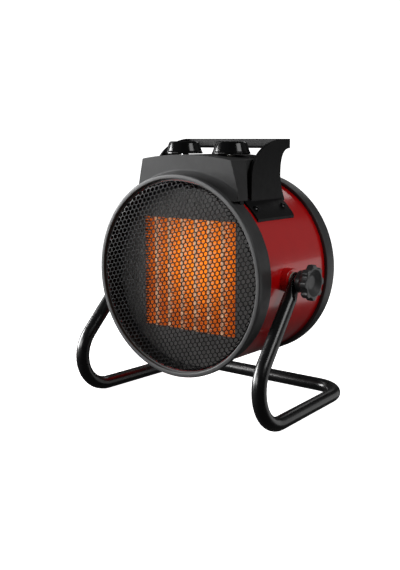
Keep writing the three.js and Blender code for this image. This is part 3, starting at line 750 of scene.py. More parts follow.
@dataclass(frozen=True)
class ShellFinish(Finish):
    """Enamel on the outside of a rolled sheet, with painted shade, near black, on its inside and its edges.
    """

    axis_height: float = 0.15
    enamelled_from: float = 0.1
    # painted shade: the inside of the drum and the sheet's cut edges are coloured near black
    painted_inner_shade: Colour = (0.006, 0.006, 0.006)

    def base_colour(self, board: ShaderBoard, low: Colour, high: Colour) -> Socket:
        """Enamel colour outside a radius from the drum's axis and near-black painted shade inside it.

        Args:
            board: The material's nodes.
            low: The enamel's darker tone.
            high: Its lighter tone.

        Returns:
            The colour.
        """
        enamel = board.mixed(board.noise(self.mottle_size), low, high)
        parts = board.add("ShaderNodeSeparateXYZ", {0: board.place}).outputs
        sockets = {0: parts["Z"], 1: self.axis_height}
        height = board.add("ShaderNodeMath", sockets, operation="SUBTRACT").outputs[0]
        spoke = board.add("ShaderNodeCombineXYZ", {"X": parts["X"], "Z": height}).outputs[0]
        radius = board.add("ShaderNodeVectorMath", {0: spoke}, operation="LENGTH").outputs["Value"]
        sockets = {0: radius, 1: self.enamelled_from}
        # inside the radius the colour is the near-black painted shade, outside it the red enamel
        outside = board.add("ShaderNodeMath", sockets, operation="GREATER_THAN").outputs[0]
        mix = board.add("ShaderNodeMix", {0: outside, 6: (*self.painted_inner_shade, 1), 7: enamel}, data_type="RGBA")
        return mix.outputs[2]


@dataclass
class FinishShop:
    """Every finish of the heater, made once and handed out by its slot."""

    element_heart: Colour
    axis_height: float
    enamelled_from: float
    made: dict[Slot, bpy.types.Material] = field(default_factory=dict)

    def __post_init__(self) -> None:
        """Builds the material of each slot."""
        for finish in (*self.enamels(), *self.mouldings(), *self.metals(), *self.glowing_parts()):
            self.made[finish.slot] = finish.material()

    def enamels(self) -> list[Finish]:
        """Painted and enamelled sheet, tube and wire."""
        return [
            Finish(Slot.STAND_ENAMEL, (0.0045, 0.0045, 0.005), 0.28, coat=0.25, coat_roughness=0.12,
                   grain_size=9 * MM, grain_depth=0.001 * MM),
            ShellFinish(Slot.SHELL_RED, (0.78, 0.0015, 0.003), 0.3, coat=1.0, coat_roughness=0.14,
                        mottle=0.03, scuff=0.04, scuff_size=40 * MM, grain_size=30 * MM,
                        grain_depth=0.0008 * MM, axis_height=self.axis_height,
                        enamelled_from=self.enamelled_from),
            Finish(Slot.BEZEL_BLACK, (0.066, 0.066, 0.067), 0.42, specular=0.35, grain_depth=0.006 * MM),
            Finish(Slot.MESH_BLACK, (0.003, 0.003, 0.0032), 0.4, specular=0.2),
            Finish(Slot.MOTOR_PAINT, (0.05, 0.05, 0.055), 0.45),
            Finish(Slot.SCREW_BLACK, (0.02, 0.02, 0.021), 0.28, metallic=0.7, grain_depth=0.006 * MM),
        ]

    def mouldings(self) -> list[Finish]:
        """Moulded plastics and the silicone sleeve of the leads."""
        return [
            Finish(Slot.BOX_PLASTIC, (0.056, 0.056, 0.0565), 0.5, specular=0.12, grain_size=0.9 * MM,
                   grain_depth=0.015 * MM),
            Finish(Slot.HANDLE_PLASTIC, (0.008, 0.008, 0.0084), 0.45, specular=0.2, grain_size=0.9 * MM,
                   grain_depth=0.015 * MM),
            Finish(Slot.DIAL_PLASTIC, (0.004, 0.004, 0.0043), 0.13, specular=0.4, grain_depth=0.001 * MM),
            Finish(Slot.KNOB_PLASTIC, (0.05, 0.05, 0.051), 0.34, specular=0.7, grain_size=0.8 * MM),
            Finish(Slot.PALE_PLASTIC, (0.5, 0.47, 0.4), 0.5),
            Finish(Slot.LEAD_INSULATION, (0.02, 0.09, 0.33), 0.55),
        ]

    def metals(self) -> list[Finish]:
        """Bare and plated metal."""
        return [
            Finish(Slot.BAFFLE_STEEL, (0.09, 0.088, 0.086), 0.5, specular=0.2, scuff=0.3,
                   grain_stretch=(1, 1, 0.08)),
            Finish(Slot.ZINC_STEEL, (0.55, 0.56, 0.57), 0.32, metallic=1.0, scuff=0.3,
                   grain_stretch=(0.1, 1, 1)),
            Finish(Slot.LAMINATION_STEEL, (0.24, 0.24, 0.25), 0.4, metallic=0.9, grain_depth=0.03 * MM,
                   grain_stretch=(0.05, 1, 0.05)),
        ]

    def glowing_parts(self) -> list[Finish]:
        """The element's fins and ceramic bars, which get a painted glow, and the ceramic that holds them."""
        return [
            # painted glow on the folded fins and the ceramic bars
            GlowingFinish(Slot.FIN_ALUMINIUM, (0.1, 0.03, 0.008), 0.6, specular=0.1, heart=self.element_heart,
                          reach=84 * MM, glow_bright=(1.0, 0.25, 0.012), glow_dim=(0.26, 0.042, 0.004), strength=1.12,
                          fleck=0.45),
            GlowingFinish(Slot.HEATING_CERAMIC, (0.3, 0.2, 0.13), 0.7, heart=self.element_heart,
                          reach=120 * MM, glow_bright=(0.95, 0.55, 0.32), glow_dim=(0.3, 0.1, 0.04), strength=0.48,
                          fleck_size=5 * MM, fleck=1.0),
            Finish(Slot.HOLDER_CERAMIC, (0.42, 0.39, 0.34), 0.65, grain_depth=0.03 * MM),
        ]

    def dress(self, piece: Piece, slot: Slot) -> None:
        """Gives a piece the one material of a slot."""
        piece.data.materials.clear()
        piece.data.materials.append(self.made[slot])


# ---- Sub-assemblies


@dataclass
class SubAssembly:
    """What every sub-assembly can do: hand a finished piece to the frame, or dress a CAD node."""

    shop: FinishShop

    def fit(self, piece: Piece, body: str, slot: Slot, *nodes: str) -> Piece:
        """Dresses a piece, puts it on a body and lets it stand for CAD nodes.

        Args:
            piece: The finished piece, in place.
            body: The body it rides on.
            slot: The finish it takes.
            nodes: The CAD nodes that it stands for.

        Returns:
            The same piece.
        """
        self.shop.dress(piece, slot)
        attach(piece, body)
        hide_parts(*nodes)
        LOG.info("%s: %d faces on %s", piece.name, len(piece.data.polygons), body)
        return piece

    def keep(self, node: str, slot: Slot, edge: float = 0.4 * MM) -> None:
        """Keeps a CAD node's shape, rounds its edges and dresses it.

        Args:
            node: The node's name.
            slot: The finish it takes.
            edge: The width of the rounding.
        """
        piece = CAD_NODES[node]
        self.shop.dress(piece, slot)
        rounding = piece.modifiers.new("soft_edges", "BEVEL")
        rounding.limit_method = "ANGLE"
        rounding.angle_limit = math.radians(KEPT_CORNER)
        rounding.width = edge
        rounding.segments = 2
        LOG.info("%s: kept, as %s", node, slot.value)


CAD_NODES: dict[str, Piece] = {}


@dataclass
class TubeStand(SubAssembly):
    """The stand, one bent steel tube whose ends are flattened into eyes."""

    tube_radius: float = 7.8 * MM
    front_bend: float = 40.6 * MM
    rear_bend: float = 34.3 * MM
    leg_splay: float = 12 * MM
    front_corner: float = -70 * MM
    crossbar_behind_drum: float = 12.6 * MM
    eye_radius: float = 9.5 * MM
    eye_thickness: float = 5 * MM
    swage_length: float = 26 * MM
    eye_hole: float = 3.6 * MM
    swage_squareness: float = 3.0
    tip_start: float = 0.06
    neck_delay: float = 0.25
    tube_sides: int = 40
    bend_steps: int = 16
    tip_steps: int = 10
    neck_steps: int = 12
    crease: float = 50.0

    def build(self) -> None:
        """Builds the tube along its bends, flattens its ends and drills the eyes."""
        rings = self.leg(Side.RIGHT)
        rings += list(reversed(self.leg(Side.LEFT)))
        tube = lofted("bent_tube_stand", rings)
        pivot = self.pivot(Side.RIGHT)
        for side in Side:
            spot = self.pivot(side)
            reach = self.eye_thickness
            hole = turned("eye_drill", axis_x(spot, side), band(0, self.eye_hole, -reach, reach), DRILL_SIDES)
            tube = shaped(tube, hole, Operation.CUT)
        LOG.info("eyes are drilled at %.1f mm above the floor", pivot.z / MM)
        tube = kept_inside(smooth(tube, self.crease), Box.of("stand_tube"))
        self.fit(tube, Body.STAND.value, Slot.STAND_ENAMEL, "stand_tube")

    def pivot(self, side: Side) -> Vector:
        """The middle of one eye, on the clamp stud's axis.

        Args:
            side: Which side of the heater it is on.

        Returns:
            The middle of the eye's hole, half-way through its thickness.
        """
        washer = Box.of(f"friction_washer_{side.word}")
        outer = max(abs(washer.low.x), abs(washer.high.x))
        gap = Box.of(f"clamp_washer_{side.word}")
        inner = min(abs(gap.low.x), abs(gap.high.x))
        return Vector((side.value * (outer + inner) / 2, washer.centre.y, washer.centre.z))

    def leg(self, side: Side) -> list[Ring]:
        """The sections of one side of the stand, from the eye to the middle of the crossbar.

        Args:
            side: Which side of the heater it is on.

        Returns:
            One ring of points for each section.
        """
        eye = self.pivot(side)
        face = Box.of("front_bezel").low.y
        rear = Box.of("rear_bezel").high.y + self.crossbar_behind_drum
        foot = eye.x + side.value * self.leg_splay
        front_corner = Vector((foot, face + self.front_corner, self.tube_radius))
        rear_corner = Vector((eye.x, rear, self.tube_radius))
        middle = Vector((0, rear, self.tube_radius))
        leg_run = (front_corner - eye).normalized()
        rings = self.swage(eye, leg_run, side)
        stations = self.stations([eye + leg_run * self.swage_length, front_corner, rear_corner, middle])
        across = leg_run.cross(X * side.value).normalized()
        previous = leg_run
        for point, run in stations:
            across = previous.rotation_difference(run) @ across
            across = (across - run * across.dot(run)).normalized()
            previous = run
            out = across.cross(run).normalized() * side.value
            rings.append(self.section(point, across, out, self.tube_radius, self.tube_radius, side))
        return rings

    def section(
        self, point: Vector, across: Vector, out: Vector, wide: float, thick: float, side: Side
    ) -> Ring:
        """One section of the tube: round, or squashed to a rounded bar in the swage.

        Args:
            point: The middle of the section.
            across: The direction of its width.
            out: The direction of its thickness.
            wide: Half its width.
            thick: Half its thickness.
            side: Which side of the heater it is on.

        Returns:
            Points round the section.
        """
        squareness = 2 + self.swage_squareness * (1 - min(thick / self.tube_radius, 1))
        ring = []
        for i in range(self.tube_sides):
            angle = side.value * i * FULL_TURN / self.tube_sides
            c, s = math.cos(angle), math.sin(angle)
            u = math.copysign(abs(c) ** (2 / squareness), c) * wide
            v = math.copysign(abs(s) ** (2 / squareness), s) * thick
            ring.append(point + across * u + out * v)
        return ring

    def swage(self, eye: Vector, run: Vector, side: Side) -> list[Ring]:
        """The sections of the flattened end, from its round tip to the full tube.

        Args:
            eye: The middle of the eye.
            run: The direction from the eye down the leg.
            side: Which side of the heater it is on.

        Returns:
            One ring of points for each section.
        """
        across = run.cross(X * side.value).normalized()
        out = across.cross(run).normalized() * side.value
        rings = []
        for step in range(self.tip_steps + 1):
            angle = math.pi / 2 * (self.tip_start + (1 - self.tip_start) * step / self.tip_steps)
            along = -self.eye_radius * math.cos(angle)
            wide = self.eye_radius * math.sin(angle)
            rings.append(self.section(eye + run * along, across, out, wide, self.eye_thickness / 2, side))
        for step in range(1, self.neck_steps):
            share = step / self.neck_steps
            ease = share * share * (3 - 2 * share)
            late = max(0.0, (share - self.neck_delay) / (1 - self.neck_delay))
            late_ease = late * late * (3 - 2 * late)
            wide = self.eye_radius + (self.tube_radius - self.eye_radius) * ease
            thick = self.eye_thickness / 2 + (self.tube_radius - self.eye_thickness / 2) * late_ease
            point = eye + run * (self.swage_length * share)
            rings.append(self.section(point, across, out, wide, thick, side))
        return rings

    def stations(self, corners: list[Vector]) -> list[tuple[Vector, Vector]]:
        """Points and directions along straight runs and round the two bends.

        Args:
            corners: The top of the leg, the corners of both bends and the crossbar's middle.

        Returns:
            Each point with the tube's direction there.
        """
        runs = [(b - a).normalized() for a, b in zip(corners, corners[1:])]
        made = [(corners[0], runs[0])]
        for corner, radius, arriving, leaving in zip(
            corners[1:-1], (self.front_bend, self.rear_bend), runs, runs[1:]
        ):
            turn = arriving.angle(leaving)
            inward = (leaving - arriving * leaving.dot(arriving)).normalized()
            start = corner - arriving * (radius * math.tan(turn / 2))
            for step in range(self.bend_steps + 1):
                angle = turn * step / self.bend_steps
                forward, sideways = radius * math.sin(angle), radius * (1 - math.cos(angle))
                point = start + arriving * forward + inward * sideways
                made.append((point, arriving * math.cos(angle) + inward * math.sin(angle)))
        made.append((corners[-1], runs[-1]))
        return made


@dataclass
class Drum(SubAssembly):
    """The rolled shell and the two bezels that close its ends."""

    sides: int = 192
    sheet: float = 0.8 * MM
    bezel_depth: float = 5 * MM
    bezel_web: float = 1.2 * MM
    bezel_flange: float = 5 * MM
    sleeve_wall: float = 0.7 * MM
    seat_gap: float = 0.3 * MM
    stud_hole: float = 3.6 * MM
    rear_wall: float = 1.6 * MM
    rear_lip: float = 7.5 * MM
    front_lip_edge: float = 0.9 * MM
    front_rim_edge: float = 1.5 * MM
    flange_back_edge: float = 0.5 * MM
    sleeve_root_edge: float = 0.9 * MM
    sleeve_end_edge: float = 0.25 * MM
    sleeve_bore_edge: float = 0.1 * MM
    hidden_edge: float = 0.2 * MM
    rear_band_edge: float = 0.8 * MM
    rear_rim_edge: float = 1.4 * MM
    rear_lip_edge: float = 0.6 * MM
    rear_lip_back_edge: float = 0.3 * MM

    @property
    def axis(self) -> Axis:
        """The drum's axis, from the middle of its front face."""
        shell = Box.of("drum_shell")
        return axis_y(Vector((0, Box.of("front_bezel").low.y, shell.centre.z)))

    @property
    def shell_radius(self) -> float:
        """The outside of the rolled sheet."""
        return Box.of("drum_shell").high.x

    def build(self) -> None:
        """Builds the shell and both bezels."""
        self.build_shell()
        self.build_front_bezel()
        self.build_rear_bezel()

    def build_shell(self) -> None:
        """The red shell, drilled for the clamp studs."""
        box = Box.of("drum_shell")
        start = box.low.y - self.axis.origin.y
        end = box.high.y - self.axis.origin.y
        outer = self.shell_radius
        inner = outer - self.sheet
        shell = turned("rolled_shell", self.axis, band(inner, outer, start, end), self.sides)
        stud = Box.of("clamp_stud_right").centre
        drill_axis = axis_x(Vector((0, stud.y, stud.z)))
        reach = 2 * outer
        drill = turned("shell_drill", drill_axis, band(0, self.stud_hole, -reach, reach), DRILL_SIDES)
        shell = shaped(shell, drill, Operation.CUT)
        self.fit(smooth(shell), Body.DRUM.value, Slot.SHELL_RED, "drum_shell")

    def build_front_bezel(self) -> None:
        """The front bezel: a rolled flange round the mesh and a sleeve over the shell."""
        box = Box.of("front_bezel")
        radius = box.high.x
        lip = radius - self.bezel_flange
        inner = self.shell_radius + self.seat_gap
        outer = inner + self.sleeve_wall
        rear = box.size.y
        web = self.bezel_depth - self.bezel_web
        profile = rounded([
            (lip, 0, self.front_lip_edge), (radius, 0, self.front_rim_edge),
            (radius, self.bezel_depth, self.flange_back_edge),
            (outer, self.bezel_depth, self.sleeve_root_edge),
            (outer, rear, self.sleeve_end_edge), (inner, rear, self.sleeve_bore_edge),
            (inner, web, self.hidden_edge), (lip, web, self.hidden_edge),
        ])
        bezel = turned("front_bezel_ring", self.axis, profile, self.sides)
        self.fit(smooth(bezel), Body.DRUM.value, Slot.BEZEL_BLACK, "front_bezel")

    def build_rear_bezel(self) -> None:
        """The rear bezel: a raised band with a lip that holds the rear mesh."""
        box = Box.of("rear_bezel")
        radius = box.high.x
        front = box.low.y - self.axis.origin.y
        rear = box.high.y - self.axis.origin.y
        seat = self.shell_radius + self.seat_gap
        inside = radius - self.rear_wall
        lip = radius - self.rear_lip
        profile = rounded([
            (seat, front, self.hidden_edge), (radius, front, self.rear_band_edge),
            (radius, rear, self.rear_rim_edge), (lip, rear, self.rear_lip_edge),
            (lip, rear - self.rear_wall, self.rear_lip_back_edge),
            (inside, rear - self.rear_wall, self.hidden_edge),
            (inside, front + self.rear_wall, self.hidden_edge),
            (seat, front + self.rear_wall, self.hidden_edge),
        ])
        bezel = turned("rear_bezel_ring", self.axis, profile, self.sides)
        self.fit(smooth(bezel), Body.DRUM.value, Slot.BEZEL_BLACK, "rear_bezel")


@dataclass
class MeshGuards(SubAssembly):
    """The two guards, sheets of small hexagonal cells. The front one rolls back round its edge."""

    step_up: Pair = (2.97 * MM, 5.34 * MM)
    step_across: Pair = (6.01 * MM, 1.49 * MM)
    strand: float = 1.05 * MM
    sheet: float = 0.75 * MM
    chamfer: float = 0.18 * MM
    roll: float = 3.2 * MM
    straight: float = 3.0 * MM
    rim_wall: float = 0.8 * MM
    rear_margin: float = 6 * MM
    rim_edge: float = 0.3 * MM
    rim_sides: int = 144
    crease: float = 25.0

    def build(self) -> None:
        """Builds both guards."""
        self.build_front()
        self.build_rear()

    def cells(self, radius: float) -> list[tuple[int, int]]:
        """The lattice places of the cells whose middles are inside a radius.

        Args:
            radius: The radius that the cells' middles are inside.

        Returns:
            The steps up and across to each cell.
        """
        (ax, az), (bx, bz) = self.step_up, self.step_across
        reach = math.ceil(2 * radius / min(math.hypot(ax, az), math.hypot(bx, bz)))
        span = range(-reach, reach + 1)
        return [(i, j) for i in span for j in span if math.hypot(i * ax + j * bx, i * az + j * bz) < radius]

    def sheet_of_cells(
        self, name: str, radius: float, place: Callable[[float, float, float], Vector]
    ) -> Piece:
        """A sheet of hexagonal cells.

        Args:
            name: The object's name.
            radius: Cells whose middles are inside it are made.
            place: Gives the point for a place on the flat sheet and a depth into it.

        Returns:
            The new object, one closed sheet with a chamfer on the front of each hole.
        """
        (ax, az), (bx, bz) = self.step_up, self.step_across
        pitch = math.sqrt(abs(ax * bz - az * bx))
        wide = 1 - (self.strand - 2 * self.chamfer) / pitch
        narrow = 1 - self.strand / pitch
        turn = ((1, 1), (-1, 2), (-2, 1), (-1, -1), (1, -2), (2, -1))
        mesh_code = bmesh.new()
        shared: dict[tuple[int, int, int], bmesh.types.BMVert] = {}
        sides: dict[frozenset, tuple] = {}

        def corner(i: int, j: int, k: int, share: float, depth: float) -> Vector:
            """The place of a cell's corner, drawn in towards its middle.

            Args:
                i: Steps up to the cell.
                j: Steps across to it.
                k: Which of its six corners it is.
                share: 1 at the corner itself and less towards the cell's middle.
                depth: How deep in the sheet it is.

            Returns:
                The corner's place on the guard.
            """
            u = i + share * turn[k][0] / 3
            v = j + share * turn[k][1] / 3
            return place(u * ax + v * bx, u * az + v * bz, depth)

        def shared_corner(i: int, j: int, k: int, back: int) -> bmesh.types.BMVert:
            """The vertex that three cells share, on the front or the back.

            Args:
                i: Steps up to the cell.
                j: Steps across to it.
                k: Which of its six corners it is.
                back: 0 on the front of the sheet and 1 on its back.

            Returns:
                The vertex.
            """
            key = (3 * i + turn[k][0], 3 * j + turn[k][1], back)
            if key not in shared:
                shared[key] = mesh_code.verts.new(corner(i, j, k, 1.0, back * self.sheet))
            return shared[key]

        for i, j in self.cells(radius):
            levels = ((wide, 0.0), (narrow, self.chamfer), (narrow, self.sheet))
            rings = [[shared_corner(i, j, k, 0) for k in range(6)]]
            rings += [[mesh_code.verts.new(corner(i, j, k, s, d)) for k in range(6)] for s, d in levels]
            rings.append([shared_corner(i, j, k, 1) for k in range(6)])
            skin(mesh_code, rings, closed=False)
            for k in range(6):
                n = (k + 1) % 6
                side = frozenset((rings[0][k], rings[0][n]))
                wall = (rings[0][k], rings[-1][k], rings[-1][n], rings[0][n])
                sides[side] = () if side in sides else wall
        for wall in filter(None, sides.values()):
            mesh_code.faces.new(wall)
        return link(name, mesh_code)

    def build_front(self) -> None:
        """The front guard: mesh that rolls back round its edge into a plain rim."""
        box = Box.of("front_grille")
        front, outer, centre = box.low.y, box.high.x, box.centre.z
        flat = outer - self.roll

        def place(x: float, z: float, depth: float) -> Vector:
            """Bends the flat sheet back round the guard's edge.

            Args:
                x: The distance across the flat sheet.
                z: The distance up the flat sheet.
                depth: How deep in the sheet it is.

            Returns:
                The point on the rolled guard.
            """
            radius = math.hypot(x, z)
            if radius <= flat:
                return Vector((x, front + depth, centre + z))
            angle = min((radius - flat) / self.roll, math.pi / 2)
            beyond = radius - flat - self.roll * angle
            rolled = flat + (self.roll - depth) * math.sin(angle)
            back = front + self.roll - (self.roll - depth) * math.cos(angle) + beyond
            return Vector((x * rolled / radius, back, centre + z * rolled / radius))

        reach = flat + self.roll * math.pi / 2 + self.straight
        mesh = self.sheet_of_cells("front_mesh_sheet", reach, place)
        axis = axis_y(Vector((0, front, centre)))
        start = self.roll + self.straight
        wall = band(outer - self.rim_wall, outer, start, box.size.y)
        rim = turned("front_mesh_rim", axis, wall, self.rim_sides)
        guard = joined("front_mesh_guard", [mesh, rim])
        self.fit(smooth(guard, self.crease), Body.DRUM.value, Slot.MESH_BLACK, "front_grille")

    def build_rear(self) -> None:
        """The rear guard: a flat mesh disc clamped in a plain ring."""
        box = Box.of("rear_grille")
        outer, centre = box.high.x, box.centre.z
        middle = box.centre.y - self.sheet / 2

        def place(x: float, z: float, depth: float) -> Vector:
            """Stands the flat sheet up in the guard's ring."""
            return Vector((x, middle + depth, centre + z))

        mesh = self.sheet_of_cells("rear_mesh_sheet", outer - self.rear_margin, place)
        inner = outer - self.rear_margin - 2 * self.strand
        edge, deep = self.rim_edge, box.size.y
        ring = rounded([(*place, edge) for place in band(inner, outer, 0, deep)])
        rim = turned("rear_mesh_rim", axis_y(Vector((0, box.low.y, centre))), ring, self.rim_sides)
        guard = joined("rear_mesh_guard", [mesh, rim])
        self.fit(smooth(guard, self.crease), Body.DRUM.value, Slot.MESH_BLACK, "rear_grille")


@dataclass
class HeatingElement(SubAssembly):
    """Banks of folded fins with ceramic bars between them, their holders and the plate round them."""

    fold_pitch: float = 3.3 * MM
    fin_sheet: float = 0.45 * MM
    fin_banks: int = 7
    fold_round: float = 0.24
    fold_narrow: float = 0.9
    bar_edge: float = 0.5 * MM
    holder_edge: float = 0.8 * MM
    baffle_edge: float = 0.2 * MM
    cutout_edge: float = 0.6 * MM

    def build(self) -> None:
        """Builds the fins and dresses the parts that hold them."""
        for number in range(1, self.fin_banks + 1):
            self.build_fins(number)
        for number in range(1, self.fin_banks):
            self.keep(f"ceramic_bar_{number}", Slot.HEATING_CERAMIC, self.bar_edge)
        for end in ("top", "bottom"):
            self.keep(f"element_holder_{end}", Slot.HOLDER_CERAMIC, self.holder_edge)
        self.keep("element_baffle", Slot.BAFFLE_STEEL, self.baffle_edge)
        self.keep("thermal_cutout", Slot.HOLDER_CERAMIC, self.cutout_edge)

    def build_fins(self, number: int) -> None:
        """One bank: a thin strip folded to and fro, with round folds.

        Args:
            number: Which bank it is, from the left.
        """
        node = f"fin_bank_{number}"
        box = Box.of(node)
        half_width = box.size.x / 2 - self.fin_sheet / 2
        folds = round(box.size.z / self.fold_pitch) * 2
        rise = (box.size.z - self.fin_sheet) / folds
        line = []
        for fold in range(folds + 1):
            side = 1 if fold % 2 else -1
            height = fold * rise + self.fin_sheet / 2
            near = rise * self.fold_round
            if fold:
                line.append((side * half_width * self.fold_narrow, height - near))
            line.append((side * half_width, height))
            if fold < folds:
                line.append((side * half_width * self.fold_narrow, height + near))
        half = self.fin_sheet / 2
        edges = [(x - half, z) for x, z in line] + [(x + half, z) for x, z in reversed(line)]
        axis = axis_y(Vector((box.centre.x, box.low.y, box.low.z)))
        mesh_code = bmesh.new()
        count = len(line)
        depths = (0, box.size.y)
        rings = [[mesh_code.verts.new(axis.point(u, v, w)) for u, v in edges] for w in depths]
        skin(mesh_code, rings, closed=False)
        for ring in rings:
            for i in range(count - 1):
                mesh_code.faces.new((ring[i], ring[i + 1], ring[-2 - i], ring[-1 - i]))
        fins = link(f"folded_fins_{number}", mesh_code)
        self.fit(smooth(fins, 60), Body.DRUM.value, Slot.FIN_ALUMINIUM, node)


@dataclass
class MotorAndFan(SubAssembly):
    """The motor, its bracket and bearings, and the fan on its shaft."""

    wall: float = 1.5 * MM
    shaft_radius: float = 3 * MM
    hub_radius: float = 16 * MM
    blade_count: int = 5
    blade_root: float = 30 * MM
    blade_tip: float = 50 * MM
    blade_sheet: float = 1.3 * MM
    root_pitch: float = 36.0
    tip_pitch: float = 13.0
    blade_camber: float = 3 * MM
    blade_sink: float = 3 * MM
    tip_rounds_from: float = 0.7
    tip_narrows_to: float = 0.4
    rim_clearance: float = 3 * MM
    hub_share: float = 0.8
    hub_nose: float = 5 * MM
    hub_back_edge: float = 1 * MM
    bore_edge: float = 0.3 * MM
    tight_gap: float = 0.3 * MM
    running_gap: float = 0.15 * MM
    air_gap: float = 0.6 * MM
    bearing_edge: float = 0.5 * MM
    shaft_edge: float = 0.5 * MM
    cap_edge: float = 0.4 * MM
    stack_edge: float = 0.2 * MM
    can_floor: float = 2 * MM
    can_nose: float = 2.5 * MM
    can_end_edge: float = 0.4 * MM
    can_inside_edge: float = 0.8 * MM
    slots: int = 12
    slot_half_width: float = 2 * MM
    slot_front: float = 7 * MM
    slot_rear: float = 19 * MM
    slot_corner: float = 1.9 * MM
    slot_reach: float = 3 * MM

    def build(self) -> None:
        """Builds the motor's turned parts and the fan, and dresses the rest."""
        self.build_housing()
        self.build_rings()
        self.build_shaft()
        self.build_fan()
        self.keep("motor_bracket", Slot.ZINC_STEEL)

    def ring_of(self, node: str, name: str, bore: float, edge: float, body: Body, slot: Slot) -> None:
        """A turned ring in a node's place, with rounded edges.

        Args:
            node: The CAD node whose place it takes.
            name: The object's name.
            bore: The radius of its hole.
            edge: The rounding of its edges.
            body: The body it rides on.
            slot: The finish it takes.
        """
        box = Box.of(node)
        axis = axis_back(box)
        radius, length = box.size.x / 2, box.size.y
        profile = rounded([(*place, edge) for place in band(bore, radius, 0, length)])
        self.fit(smooth(turned(name, axis, profile)), body.value, slot, node)

    def build_housing(self) -> None:
        """The motor's can, with cooling slots round its waist."""
        box = Box.of("motor_housing")
        axis = axis_back(box)
        radius, length = box.size.x / 2, box.size.y
        seat = Box.of("motor_bearing_front").size.x / 2 + self.tight_gap
        bore = radius - self.wall
        floor = self.can_floor
        profile = rounded([(seat, 0, self.bore_edge), (radius, 0, self.can_nose),
                           (radius, length, self.can_end_edge), (bore, length, self.bore_edge),
                           (bore, floor, self.can_inside_edge), (seat, floor, self.bore_edge)])
        can = turned("motor_can", axis, profile)
        wide, corner = self.slot_half_width, self.slot_corner
        shape = rounded([(-wide, self.slot_front, corner), (wide, self.slot_front, corner),
                         (wide, self.slot_rear, corner), (-wide, self.slot_rear, corner)])
        for number in range(self.slots):
            angle = (number + 0.5) * FULL_TURN / self.slots
            out = X * math.cos(angle) + Z * math.sin(angle)
            side = Y.cross(out)
            cutter = Axis(axis.origin, side, Y, out)
            slot = slab("can_slot", cutter, shape, bore - self.slot_reach, radius + self.slot_reach)
            can = shaped(can, slot, Operation.CUT)
        self.fit(smooth(can), Body.DRUM.value, Slot.MOTOR_PAINT, "motor_housing")

    def build_rings(self) -> None:
        """Bearings, end cap, stator and rotor."""
        bearing = Box.of("motor_bearing_front").size.x / 2
        running = self.shaft_radius + self.running_gap
        tight = self.shaft_radius + self.tight_gap
        seat = bearing + self.tight_gap
        pole = Box.of("motor_rotor").size.x / 2 + self.air_gap
        for end in ("front", "rear"):
            node = f"motor_bearing_{end}"
            self.ring_of(node, f"bearing_{end}", running, self.bearing_edge, Body.DRUM, Slot.ZINC_STEEL)
        self.ring_of("motor_end_cap", "motor_cap", seat, self.cap_edge, Body.DRUM, Slot.MOTOR_PAINT)
        stack = self.stack_edge
        self.ring_of("motor_stator", "stator_stack", pole, stack, Body.DRUM, Slot.LAMINATION_STEEL)
        self.ring_of("motor_rotor", "rotor_stack", tight, stack, Body.FAN, Slot.LAMINATION_STEEL)

    def build_shaft(self) -> None:
        """The shaft, with chamfered ends."""
        box = Box.of("motor_shaft")
        axis = axis_back(box)
        radius, length = box.size.x / 2, box.size.y
        edge = self.shaft_edge
        profile = rounded([(0, 0, 0), (radius, 0, edge), (radius, length, edge), (0, length, 0)], 2, False)
        shaft = smooth(turned("fan_shaft", axis, profile, SMALL_SIDES))
        self.fit(shaft, Body.FAN.value, Slot.ZINC_STEEL, "motor_shaft")

    def blade(self, turn: float, middle: Vector, radius: float) -> Piece:
        """One twisted blade.

        Args:
            turn: Where it stands round the hub.
            middle: The middle of the hub.
            radius: The fan's radius.

        Returns:
            A closed blade, cambered, with a swept rounded tip.
        """
        spoke = Vector((math.sin(turn), 0, math.cos(turn)))
        side = Y.cross(spoke)
        spans, chords = 12, 10
        rings = []
        for i in range(spans + 1):
            share = i / spans
            root = self.hub_radius - self.blade_sink
            span = root + (radius - root) * share
            chord = self.blade_root + (self.blade_tip - self.blade_root) * share
            beyond = max(0.0, (share - self.tip_rounds_from) / (1 - self.tip_rounds_from))
            narrow = self.tip_narrows_to
            chord *= math.sqrt(max(0.0, 1 - beyond**3)) * (1 - narrow) + narrow
            pitch = math.radians(self.root_pitch + (self.tip_pitch - self.root_pitch) * share)
            lead = side * math.cos(pitch) + Y * math.sin(pitch)
            lift = Y * math.cos(pitch) - side * math.sin(pitch)
            ring = []
            for face in (1, -1):
                for j in range(chords + 1):
                    place = (j / chords - 0.5) * face
                    camber = self.blade_camber * (1 - 4 * place * place)
                    thick = face * self.blade_sheet / 2 * math.sqrt(max(0.05, 1 - 4 * place * place))
                    ring.append(middle + spoke * span + lead * (place * chord) + lift * (camber + thick))
            rings.append(ring)
        return lofted("fan_blade", rings)

    def build_fan(self) -> None:
        """The fan: a hub with a round nose and five blades."""
        box = Box.of("fan_impeller")
        middle = box.centre
        shaft = Box.of("motor_shaft")
        radius = min(box.size.x, box.size.z) / 2 - self.rim_clearance
        length = box.size.y * self.hub_share
        axis = axis_y(Vector((shaft.centre.x, middle.y - length / 2, shaft.centre.z)))
        bore = self.shaft_radius + self.tight_gap
        profile = rounded([(bore, 0, self.bore_edge), (self.hub_radius, 0, self.hub_nose),
                           (self.hub_radius, length, self.hub_back_edge), (bore, length, self.bore_edge)], 6)
        hub = turned("fan_hub", axis, profile)
        centre = Vector((shaft.centre.x, middle.y, shaft.centre.z))
        apart = FULL_TURN / self.blade_count
        blades = [self.blade(i * apart, centre, radius) for i in range(self.blade_count)]
        fan = joined("fan_wheel", [hub, *blades])
        self.fit(smooth(fan), Body.FAN.value, Slot.MOTOR_PAINT, "fan_impeller")


